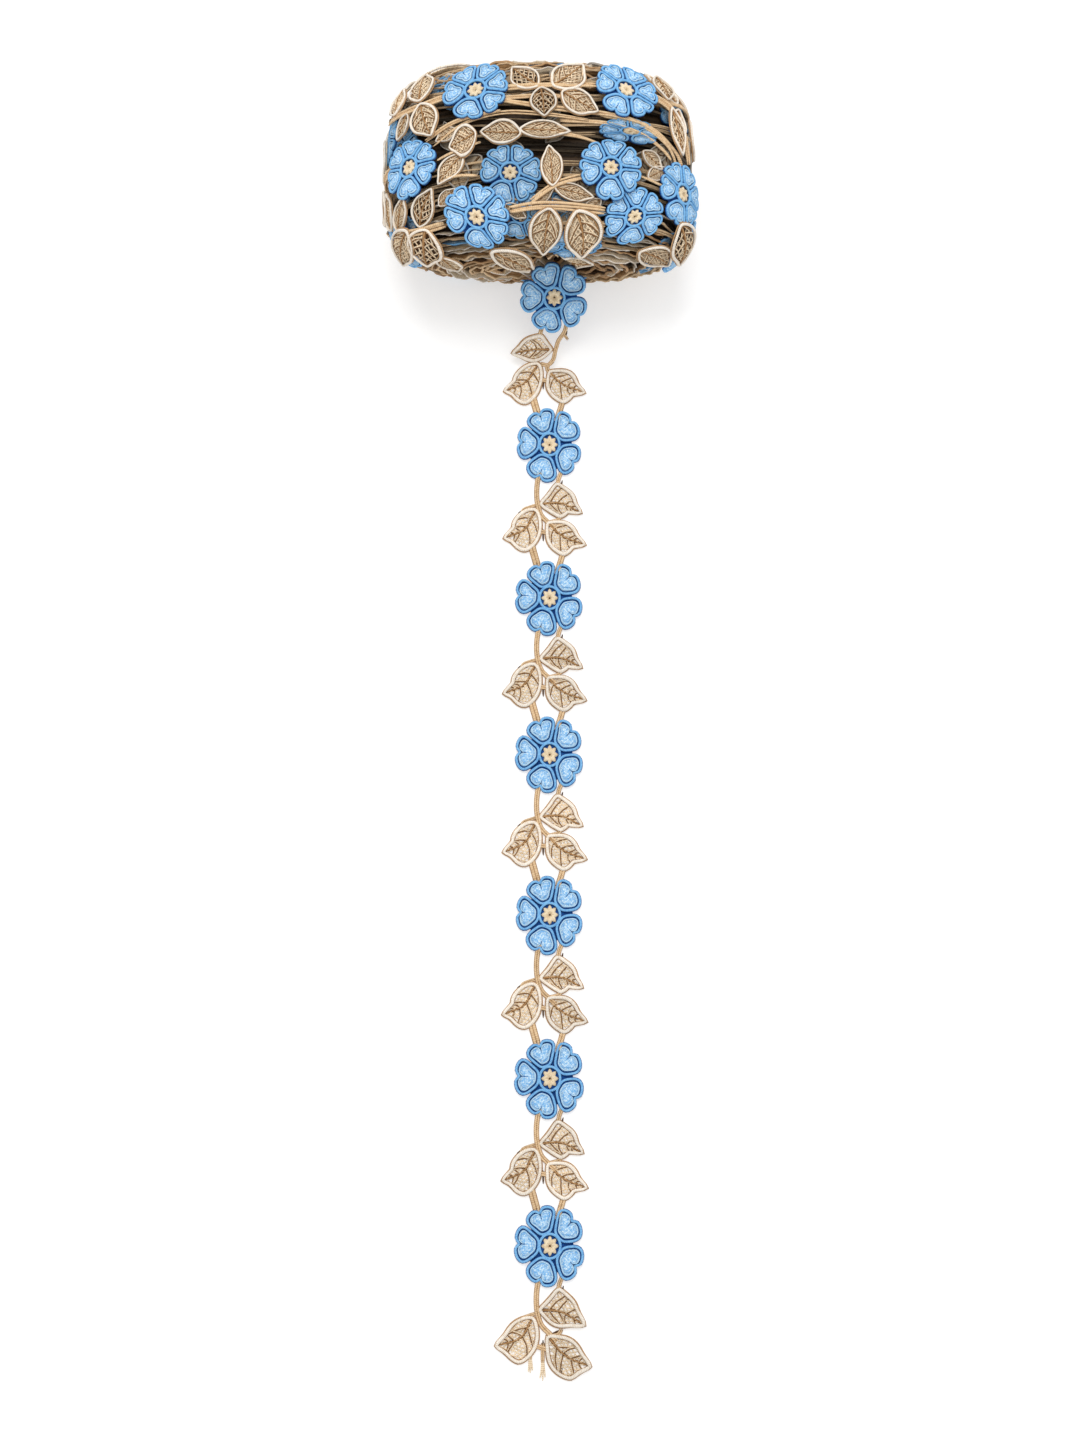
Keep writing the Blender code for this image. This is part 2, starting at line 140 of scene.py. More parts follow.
def cordMaterial(name, light, dark, pitch, slant=1.0, depth=0.12, sheen=0.06):
    material, tree, shader = threadMaterial(name, 0.62, sheen)
    uv = addNode(tree, "UVMap", {}, uv_map="threads")
    split = addNode(tree, "SeparateXYZ", {0: uv.outputs[0]})
    x, y = split.outputs["X"], split.outputs["Y"]
    turn = 2 * math.pi  # stitches cross the cord at a slant
    lean = addNode(tree, "Math", {0: y, 1: turn * slant}, operation="MULTIPLY")
    phase = addNode(tree, "Math", {0: x, 1: turn / pitch, 2: lean.outputs[0]}, operation="MULTIPLY_ADD")
    wave = addNode(tree, "Math", {0: phase.outputs[0]}, operation="SINE")
    level = addNode(tree, "MapRange", {"Value": wave.outputs[0], "From Min": -1}).outputs[0]
    place = addNode(tree, "TexCoord", {})
    noise = addNode(tree, "TexNoise", {"Vector": place.outputs["Object"], "Scale": 900, "Detail": 3})
    fibres = addNode(tree, "Math", {0: noise.outputs["Fac"], 1: 1.1, 2: -0.12}, operation="MULTIPLY_ADD")
    both = addNode(tree, "Math", {0: level, 1: 0.45, 2: fibres.outputs[0]}, operation="MULTIPLY_ADD")
    colourAndRelief(tree, shader, both.outputs[0], (0.18, dark), (0.78, light), (level, 0.7, depth))
    return material


def fillMaterial(name, light, dark, cell, squeeze):
    material, tree, shader = threadMaterial(name, 0.75, 0.06)
    uv = addNode(tree, "UVMap", {}, uv_map="threads")
    size = addNode(tree, "Mapping", {"Vector": uv.outputs[0], "Scale": (1 / cell, squeeze / cell, 1)})
    cells = addNode(tree, "TexVoronoi", {"Vector": size.outputs[0], "Scale": 1, "Randomness": 0.55})
    noise = addNode(tree, "TexNoise", {"Vector": uv.outputs[0], "Scale": 0.9, "Detail": 2})
    gap = cells.outputs["Distance"]
    both = addNode(tree, "Math", {0: noise.outputs["Fac"], 1: 0.5, 2: gap}, operation="MULTIPLY_ADD")
    colourAndRelief(tree, shader, both.outputs[0], (0.42, light), (0.95, dark), (gap, 0.8, 0.2), invert=True)
    return material


threadMaterials = {  # light and dark colour, linear, and the stitches' pitch in millimetres
    "rim": cordMaterial("blueRimCord", (0.25, 0.55, 0.87), (0.045, 0.24, 0.60), 0.55),
    "innerRim": cordMaterial("blueInnerCord", (0.62, 0.84, 0.97), (0.24, 0.55, 0.86), 0.5),
    "petalFill": fillMaterial("bluePetalStitches", (0.74, 0.90, 0.98), (0.18, 0.45, 0.79), 0.62, 0.7),
    # dark blue ground thread, darker as painted shade in the grooves, the crease, the hollow round the star
    # and each petal's foot
    "groove": fillMaterial("blueGroundAndGrooveShade", (0.012, 0.12, 0.42), (0.004, 0.045, 0.22), 0.5, 1.0),
    "star": cordMaterial("beigeStarThread", (0.94, 0.80, 0.57), (0.62, 0.39, 0.18), 0.5),
    "leafRim": cordMaterial("creamLeafCord", (0.95, 0.88, 0.78), (0.70, 0.55, 0.39), 0.6),
    # tan edge thread under the leaf rim, darker as painted shade at the leaf's foot
    "leafEdge": cordMaterial("tanEdgeAndFootShade", (0.60, 0.37, 0.19), (0.30, 0.15, 0.06), 0.5),
    "net": cordMaterial("beigeNetThread", (0.92, 0.77, 0.56), (0.48, 0.29, 0.13), 0.7, depth=0.06),
    "vein": cordMaterial("tanVeinCord", (0.52, 0.29, 0.12), (0.22, 0.10, 0.032), 0.5),
    # brown vein thread, partly painted shade along the grooves beside the veins
    "veinShade": cordMaterial("brownVeinAndGrooveShade", (0.30, 0.15, 0.055), (0.13, 0.055, 0.018), 0.5),
    # painted shade: near-black thread for the star's hole, marks behind leaf tips and forks, sheets behind
    # end edges and leaf backings over gaps
    "shade": cordMaterial("darkBrownPaintedShade", (0.10, 0.045, 0.015), (0.035, 0.015, 0.005), 0.5),
    "stem": cordMaterial("tanStemCord", (0.84, 0.61, 0.37), (0.45, 0.26, 0.11), 0.7, slant=2.0, depth=0.16),
    # the inner turns: near-black painted shade, for the dark deep inside the roll
    "core": cordMaterial(
        "innerTurnsPaintedShade", (0.055, 0.032, 0.016), (0.004, 0.003, 0.002), 2.3, depth=0.4, sheen=0.0
    ),
}
slots = list(threadMaterials)
print("thread materials made")


# What a needle lays down, as plain arrays: points, triangles, their UVs in millimetres, thread and tint
class Stitching:
    def __init__(self):
        self.kept = []
        self.count = 0

    def keep(self, points, triangles, *rest):
        self.kept.append((points, triangles + self.count, *rest))
        self.count += len(points)

    def add(self, points, triangles, uvs, threads, tint=1.0):
        a, b, c = (points[triangles[:, k]] for k in range(3))
        if np.einsum("ij,ij->", a, np.cross(b, c)) < 0:  # faces of each closed bit point outwards
            triangles, uvs = triangles[:, ::-1], uvs[:, ::-1]
        if isinstance(threads, str):
            threads = np.full(len(triangles), slots.index(threads))
        self.keep(points, triangles, uvs, threads, np.full(len(points), tint))

    def take(self, motif, points, tint=1.0):  # a copy of a finished motif, with its points where they lie
        _, triangles, uvs, threads, tints = motif
        self.keep(points, triangles, uvs, threads, tints * tint)

    def packed(self):
        return tuple(np.concatenate(kind) for kind in zip(*self.kept))


def smoothPath(points, step):
    points = np.asarray(points, float)
    if len(points) < 3:
        count = max(2, round(np.linalg.norm(points[-1] - points[0]) / step) + 1)
        share = np.linspace(0, 1, count)[:, None]
        return points[0] * (1 - share) + points[-1] * share
    ends = np.vstack([2 * points[0] - points[1], points, 2 * points[-1] - points[-2]])
    made = []
    for i in range(len(points) - 1):
        p0, p1, p2, p3 = ends[i : i + 4]
        count = max(1, round(np.linalg.norm(p2 - p1) / step))
        for t in np.arange(count) / count:
            bend = 2 * p0 - 5 * p1 + 4 * p2 - p3
            made.append(0.5 * (2 * p1 + (p2 - p0) * t + bend * t * t + (3 * p1 - p0 - 3 * p2 + p3) * t**3))
    return np.vstack([made, points[-1:]])


def sideways(path, closed=False):  # level unit vectors to the left of the path
    if closed:
        ahead = np.roll(path, -1, axis=0) - np.roll(path, 1, axis=0)
    else:
        ahead = np.gradient(path, axis=0)
    ahead = ahead[:, :2] / np.maximum(np.linalg.norm(ahead[:, :2], axis=1), 1e-9)[:, None]
    return np.column_stack([-ahead[:, 1], ahead[:, 0], np.zeros(len(path))])


def layTube(work, rings, path, thread, tint, closed=False):
    count, sides = rings.shape[:2]
    steps = np.linalg.norm(np.roll(path, -1, axis=0) - path, axis=1)
    arc = np.concatenate([[0], np.cumsum(steps)]) / mm
    i, k = np.meshgrid(np.arange(count if closed else count - 1), np.arange(sides), indexing="ij")
    i, k = i.ravel(), k.ravel()
    corners = ((0, 0), (1, 0), (1, 1)), ((0, 0), (1, 1), (0, 1))  # of the two triangles between two rings
    triangles, uvs = [], []
    for three in corners:
        triangles.append(np.stack([(i + a) % count * sides + (k + b) % sides for a, b in three], 1))
        uvs.append(np.stack([np.stack([arc[i + a], (k + b) / sides], 1) for a, b in three], 1))
    triangles = np.stack(triangles, axis=1).reshape(-1, 3)
    uvs = np.stack(uvs, axis=1).reshape(-1, 3, 2)
    if not closed:
        base = (count - 1) * sides
        caps = [(n + 1, n, 0) for n in range(1, sides - 1)]
        caps += [(base, base + n, base + n + 1) for n in range(1, sides - 1)]
        triangles = np.vstack([triangles, caps])
        uvs = np.concatenate([uvs, np.tile(uvs[:1], (len(caps), 1, 1))])
    work.add(rings.reshape(-1, 3), triangles, uvs, thread, tint)


def layCord(work, path, radius, thread, sides=6, closed=False, flat=1.0, tint=1.0):
    path = np.asarray(path, float)
    count = len(path)
    radius = np.broadcast_to(np.asarray(radius, float), (count,)).copy()
    if not closed:
        radius[[0, -1]] *= 0.45  # both ends are drawn in
    angle = -math.pi / 2 + 2 * math.pi * np.arange(sides) / sides
    rings = path[:, None] + sideways(path, closed)[:, None] * (np.cos(angle)[:, None] * radius[:, None, None])
    rings[:, :, 2] += np.sin(angle) * radius[:, None] * flat
    layTube(work, rings, path, thread, tint, closed)


def layFill(work, loops, heights, threads, bottom, axis=0.0, tint=1.0):
    count = len(loops[0])
    rings = [np.column_stack([loop, np.full(count, h)]) for loop, h in zip(loops, heights)]
    middle = np.append(np.mean(loops[-1], axis=0), heights[-1])
    under = np.column_stack([loops[0], np.full(count, bottom)])
    points = np.vstack([*rings, middle[None], under, np.append(middle[:2], bottom)[None]])
    turned = np.array([[math.cos(axis), -math.sin(axis)], [math.sin(axis), math.cos(axis)]])
    flatUv = points[:, :2] @ turned / mm
    here = np.arange(count)
    ahead = (here + 1) % count
    topMiddle = len(rings) * count
    groups = []
    for r in range(len(rings) - 1):
        a, b = r * count, (r + 1) * count
        groups.append((threads[r], [(here + a, ahead + a, ahead + b), (here + a, ahead + b, here + b)]))
    last = (len(rings) - 1) * count
    groups.append((threads[-1], [(here + last, ahead + last, np.full(count, topMiddle))]))
    wall = topMiddle + 1
    groups.append((threads[0], [(ahead, here, here + wall), (ahead, here + wall, ahead + wall)]))
    groups.append((threads[0], [(ahead + wall, here + wall, np.full(count, wall + count))]))
    triangles = [np.concatenate([np.stack(t, 1) for t in rows]) for _, rows in groups]
    kinds = np.concatenate([np.full(len(t), slots.index(g[0])) for t, g in zip(triangles, groups)])
    triangles = np.concatenate(triangles)
    work.add(points, triangles, flatUv[triangles], kinds, tint)


# Outlines, in each motif's own plane. The tables of cords and fill lines are in millimetres
flowerForm = {
    "petalCentre": 8.4 * mm,
    "petalReach": 12.9 * mm,  # from the flower's middle
    "petalRoot": 3.5 * mm,
    "petalRound": 6.2 * mm,
    "notch": 1.5 * mm,
    "notchAngle": 0.27,
    "petalGap": 0.17 * mm,  # half the gap to the next petal
    "cord": 0.51 * mm,
    "fineCords": {  # inset from the outline, points, deeper notch, height and radius
        # a dark cord round each petal's foot: painted shade under the rim
        "groove": (0.2, 32, 0, 0.65, 0.34),
        "innerRim": (1.74, 34, 0.5, 1.4, 0.27),
        "petalFill": (2.7, 26, 0.9, 1.45, 0.25),
    },
    "fillLines": ((0.5, 0, 0.8), (1.4, 0.3, 0.8), (1.6, 0.4, 1.15), (3.5, 0.6, 1.6)),  # inset, notch, height
    "cordHeight": 1.3 * mm,
    "creaseHeight": 1.56 * mm,
    "ringRadius": 3.8 * mm,
    "ringCord": 0.52 * mm,
    "ringHeight": 1.5 * mm,
    "groundRadius": 8.6 * mm,
    "groundInner": 3.4 * mm,
    "starRadius": 3.3 * mm,
}
leafForm = {
    "edgeCord": 0.3 * mm,
    "netPitch": 1.2 * mm,
    "netThread": 0.28 * mm,
    "netInset": 1.0 * mm,
    "netHeight": 0.9 * mm,
    "rimHeight": 1.3 * mm,
    "ribHeight": 1.2 * mm,
    "twigShares": (0.22, 0.42, 0.62, 0.8),  # where the side veins leave the rib
    "twigAngles": (38, 64),
    "twigReach": 9 * mm,
    "cornerPower": 1.4,
}


def turnedTo(angle):
    return (angle + math.pi) % (2 * math.pi) - math.pi


def petalRadius(angle, heading, scale, gaps, extraNotch=0.0):
    f = flowerForm
    a = turnedTo(angle - heading)
    out = f["petalReach"] * scale
    middle = f["petalCentre"]
    power = 8
    total = (-middle * np.cos(a) + np.sqrt(out**2 - (middle * np.sin(a)) ** 2)) ** -power
    total = total + (f["petalRound"] * scale) ** -power
    total = total + (np.maximum(-np.cos(a), 0.01) / (middle - f["petalRoot"])) ** power
    for side, gap in zip((-1, 1), gaps):  # the line halfway to each neighbour
        facing = np.maximum(np.cos(a - side * (gap + math.pi / 2)), 0.01)
        total = total + (facing / (middle * math.sin(gap) - f["petalGap"])) ** power
    notch = (f["notch"] + extraNotch) * np.exp(-((a / f["notchAngle"]) ** 2))
    return total ** (-1 / power) - notch


def loopOf(centre, radiusAt, inset, count, stretch=1.0, start=0.0):
    angle = start + 2 * math.pi * np.arange(count) / count
    radius = np.maximum(radiusAt(angle) - inset, 0.15 * mm)
    return np.column_stack([centre[0] + radius * np.cos(angle), centre[1] + radius * np.sin(angle) * stretch])


def atHeight(loop, height):
    return np.column_stack([loop, np.broadcast_to(height, (len(loop),))])


def halfGaps(angles, n):  # to the petals on each side, clockwise first
    here = math.radians(angles[n])
    found = []
    for side, other in ((-1, angles[(n + 1) % len(angles)]), (1, angles[n - 1])):
        found.append(side * turnedTo(math.radians(other) - here) % (2 * math.pi) / 2)
    return [min(gap, math.radians(41)) for gap in found]


def makeFlower(angles, scale, stretch, fine=True, wobble=0.0, seed=1):
    work, f, dice = Stitching(), flowerForm, random.Random(seed)
    around = 38 if fine else 18
    for n, degrees in enumerate(angles):
        heading = math.radians(degrees)
        size = scale * (1 + wobble * dice.uniform(-1, 1))
        centre = (f["petalCentre"] * math.cos(heading), f["petalCentre"] * math.sin(heading) * stretch)
        lift = 0.3 * mm * dice.uniform(0, 1)
        gaps = halfGaps(angles, n)

        def outline(inset, count, extra=0.0, centre=centre, heading=heading, size=size, gaps=gaps):
            def radiusAt(angle):
                return petalRadius(angle, heading, size, gaps, extra)

            return loopOf(centre, radiusAt, inset, count, stretch, heading)

        rim = atHeight(outline(f["cord"], around), f["cordHeight"] + lift)
        layCord(work, rim, f["cord"], "rim", 6 if fine else 4, True)
        for thread, (inset, points, extra, height, radius) in f["fineCords"].items() if fine else ():
            cord = atHeight(outline(inset * mm, points, extra * mm), height * mm + lift)
            layCord(work, cord, radius * mm, thread, 4, True)
        if fine:
            line = []
            # the crease is a dark line of painted shade
            for r in (1.9, dice.uniform(-0.6, 0.9)):  # the crease below the notch
                x, y = math.cos(heading) * r * mm, math.sin(heading) * r * mm * stretch
                line.append((centre[0] + x, centre[1] + y, f["creaseHeight"] + lift))
            layCord(work, smoothPath(line, 0.6 * mm), 0.17 * mm, "groove", 4)
        lines = f["fillLines"][: 4 if fine else 3]
        loops = [outline(inset * mm, around, extra * mm) for inset, extra, _ in lines]
        heights = [height * mm + lift for _, _, height in lines]
        # the first ring, between rim and inner cord, is the dark groove: blue ground and painted shade
        layFill(work, loops, heights, ["groove"] + ["petalFill"] * (len(lines) - 1), 0.25 * mm, heading)

    def circle(radius, points):
        return loopOf((0, 0), lambda a: np.full_like(a, radius), 0, points, stretch)

    def starRadius(a):
        return f["starRadius"] * (0.83 + 0.17 * np.cos(8 * a))

    ring = atHeight(circle(f["ringRadius"], 28 if fine else 16), f["ringHeight"])
    layCord(work, ring, f["ringCord"], "rim", 6 if fine else 4, True)
    # the dark hollow round the star: blue ground and painted shade
    ground = [circle(f["groundRadius"], 24), circle(f["groundInner"], 24)]
    layFill(work, ground, [0.55 * mm, 0.5 * mm], ["groove", "groove"], 0.15 * mm)
    star = [loopOf((0, 0), starRadius, inset * mm, 32, stretch) for inset in (0, 0.45, 1.75)]
    star.append(circle(0.36 * mm, 32))
    # the star's middle hole is filled with the shade thread: painted shade
    layFill(work, star, [1.0 * mm, 1.5 * mm, 1.6 * mm, 0.7 * mm], ["star", "star", "star", "shade"], 0.5 * mm)
    return work.packed()


def leafRadius(angle, row):
    _, _, axis, halfLength, halfWidth, corners = row
    a = angle - math.radians(axis)
    radius = halfLength * halfWidth / np.hypot(halfWidth * np.cos(a), halfLength * np.sin(a))
    for direction, reach, spread in corners:
        away = np.abs(turnedTo(angle - math.radians(direction))) / math.radians(spread)
        radius = radius + reach * np.exp(-(away ** leafForm["cornerPower"]))
    return radius * mm


def layNet(work, centre, radiusAt, direction, pitch, step, dice):
    ahead = np.array([math.cos(direction), math.sin(direction)])
    side = np.array([-ahead[1], ahead[0]])
    reach = 14 * mm
    for n in range(-int(reach / pitch), int(reach / pitch) + 1):
        along = np.arange(-reach, reach, step)
        wander = 0.16 * mm * np.sin(along / (1.1 * mm) + dice.uniform(0, 6))
        shift = n * pitch + wander + dice.uniform(-0.12, 0.12) * mm
        spots = along[:, None] * ahead + shift[:, None] * side
        inside = np.hypot(*spots.T) < radiusAt(np.arctan2(spots[:, 1], spots[:, 0])) - leafForm["netInset"]
        edges = np.flatnonzero(np.diff(np.concatenate([[0], inside.astype(int), [0]])))
        for start, stop in zip(edges[::2], edges[1::2]):
            if stop - start < 3:
                continue
            run = spots[start:stop] + np.asarray(centre)
            lift = leafForm["netHeight"] + 0.14 * mm * np.sin(np.arange(start, stop) * 1.7 + n * math.pi)
            run = np.column_stack([run, lift])
            layCord(work, run, leafForm["netThread"], "net", 4, tint=dice.uniform(0.8, 1.15))


def layTwigs(work, rib, outline, centre, fine, dice):  # side veins, up to the leaf's rim
    for share in leafForm["twigShares"] if fine else (0.4,):
        place = round(share * (len(rib) - 1))
        root = rib[place]
        ahead = rib[min(place + 1, len(rib) - 1)] - root
        for side in (-1, 1):
            turn = math.radians(dice.uniform(*leafForm["twigAngles"]))
            angle = math.atan2(ahead[1], ahead[0]) + side * turn
            out = np.array([math.cos(angle), math.sin(angle), 0])
            left = np.array([-out[1], out[0], 0])
            reach = 0.5 * mm
            while reach < leafForm["twigReach"]:
                x, y = (root + reach * out)[:2] - centre
                if math.hypot(x, y) > float(outline(np.array(math.atan2(y, x)))) - 1.6 * mm:
                    break
                reach += 0.4 * mm
            if reach < 1.4 * mm:
                continue
            bow = side * dice.uniform(0.1, 0.7) * mm
            end = root + reach * out
            half = (root + end) / 2 + bow * left + (0, 0, 0.05 * mm)
            twig = smoothPath([root, half, end], 1.4 * mm)
            layCord(work, twig - (0, 0, 0.12 * mm), 0.36 * mm, "veinShade", 4, flat=0.6)
            if fine:
                beside = twig + 0.36 * mm * side * left + (0, 0, 0.04 * mm)
                layCord(work, beside, 0.22 * mm, "net", 4)


def makeLeaf(row, base, fine=True, seed=3, net=1.0, cord=0.66 * mm, step=0.9 * mm, backing=None):
    work, dice = Stitching(), random.Random(seed)
    centre = (row[0] * mm, row[1] * mm)
    tip = row[5][0][0]

    def outline(angle):
        return leafRadius(angle, row)

    def spot(degrees, share):
        angle = math.radians(degrees)
        radius = float(outline(np.array(angle))) * share
        return np.array([centre[0] + radius * math.cos(angle), centre[1] + radius * math.sin(angle)])

    def loop(inset, points):
        return loopOf(centre, outline, inset, points, start=math.radians(tip))

    count = 52 if fine else 26
    turns = 2 * math.pi * np.arange(count) / count
    wave = np.sin(turns * 3 + dice.uniform(0, 6))
    thick = cord * (1 + 0.1 * np.sin(turns * 2 + dice.uniform(0, 6)) + 0.06 * wave)
    rim = atHeight(loop(cord, count), leafForm["rimHeight"] + 0.12 * mm * wave)
    layCord(work, rim, thick, "leafRim", 6 if fine else 4, True)
    # a sheet under the net, darkened to 0.8 as painted shade; with the shade thread it is painted shade of
    # the gaps seen through
    if backing:
        loops = [loop(0.6 * mm, 24), loop(3 * mm, 24)]
        layFill(work, loops, [0.45 * mm] * 2, [backing] * 2, 0.15 * mm, tint=0.8)
    if fine:
        # the tan cord at the foot: edge thread and painted shade under the rim
        layCord(work, atHeight(loop(-0.08 * mm, count), 0.7 * mm), leafForm["edgeCord"], "leafEdge", 4, True)
        layCord(work, atHeight(loop(1.4 * mm, 40), 0.85 * mm), 0.2 * mm, "vein", 4, True)
        pitch = leafForm["netPitch"] * net
        for lean in (28, -34):
            layNet(work, centre, outline, math.radians(tip + lean), pitch, step, dice)
    else:
        loops = [loop(0.7 * mm, count), loop(2.6 * mm, count)]
        layFill(work, loops, [0.8 * mm, 1.0 * mm], ["net"] * 2, 0.4 * mm, math.radians(tip))
    start, stop = spot(base, 0.9), spot(tip, 0.84)
    bend = np.array(centre) * 0.8 + (start + stop) * 0.1
    rib = smoothPath([np.append(p, leafForm["ribHeight"]) for p in (start, bend, stop)], 1.1 * mm)
    taper = np.linspace(1.1, 0.7, len(rib))
    # under the rib a wide dark cord: brown vein and painted shade in its groove
    layCord(work, rib - (0, 0, 0.22 * mm), 0.6 * mm * taper, "veinShade", 4, flat=0.5)
    layCord(work, rib + (0, 0, 0.08 * mm), 0.26 * mm * taper, "vein", 5 if fine else 4)
    layTwigs(work, rib, outline, centre, fine, dice)
    return work.packed()


def makeStem(points, width, height=1.05, seed=0, thread="stem"):
    work = Stitching()
    path = smoothPath([(x * mm, y * mm, height * mm) for x, y in points], 1.2 * mm)
    if thread != "stem":
        layCord(work, path, width * mm / 2, thread, 5, flat=0.8)
        return work.packed()
    side = sideways(path)
    for n in (-1, 1):
        strand = path + side * (n * width * mm * 0.25)
        strand[:, 2] += 0.1 * mm * np.sin(np.arange(len(path)) * 0.55 + n * 2.2 + seed)
        layCord(work, strand, width * mm * 0.26, "stem", 6)
        # the darker cords at both edges and the dark line down the middle are painted shade on the stem's
        # sides and between its strands
        layCord(work, path + side * (n * width * mm * 0.47) - (0, 0, 0.3 * mm), width * mm * 0.12, "vein", 4)
    layCord(work, path + (0, 0, 0.1 * mm), width * mm * 0.09, "veinShade", 4)
    return work.packed()


def mirrored(motif):
    points, triangles, uvs, threads, tints = motif
    return points * (-1, 1, 1), triangles[:, ::-1], uvs[:, ::-1], threads, tints


def placed(motif, centre=(0, 0), turn=0.0, size=(1, 1), lift=0.0, tilt=(0, 0)):
    x, y, z = (motif[0] * (size[0], size[1], 1)).T
    across = x * math.cos(turn) - y * math.sin(turn)
    along = x * math.sin(turn) + y * math.cos(turn)
    height = z + lift + tilt[0] * across + tilt[1] * along
    return np.column_stack([centre[0] + across, centre[1] + along, height])


def addPiece(name, work):
    points, triangles, uvs, threads, tints = work.packed()
    mesh = bpy.data.meshes.new(name)
    mesh.vertices.add(len(points))
    mesh.vertices.foreach_set("co", points.astype(np.float32).ravel())
    mesh.loops.add(triangles.size)
    mesh.loops.foreach_set("vertex_index", triangles.astype(np.int32).ravel())
    mesh.polygons.add(len(triangles))
    mesh.polygons.foreach_set("loop_start", np.arange(0, triangles.size, 3, dtype=np.int32))
    used = sorted(set(threads.tolist()))
    for number in used:
        mesh.materials.append(threadMaterials[slots[number]])
    mesh.polygons.foreach_set("material_index", np.searchsorted(used, threads).astype(np.int32))
    layer = mesh.uv_layers.new(name="threads")
    layer.data.foreach_set("uv", uvs.astype(np.float32).ravel())
    tint = mesh.attributes.new("tint", "FLOAT", "POINT")
    tint.data.foreach_set("value", tints.astype(np.float32))
    mesh.update(calc_edges=True)
    mesh.validate()
    mesh.shade_smooth()
    piece = bpy.data.objects.new(name, mesh)
    bpy.context.scene.collection.objects.link(piece)
    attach(piece, "root")
    a, b, c = (points[triangles[:, k]] for k in range(3))
    area = np.linalg.norm(np.cross(b - a, c - a), axis=1).sum() / 2
    print(name, len(triangles), "triangles, surface", round(float(area), 5))
    return piece


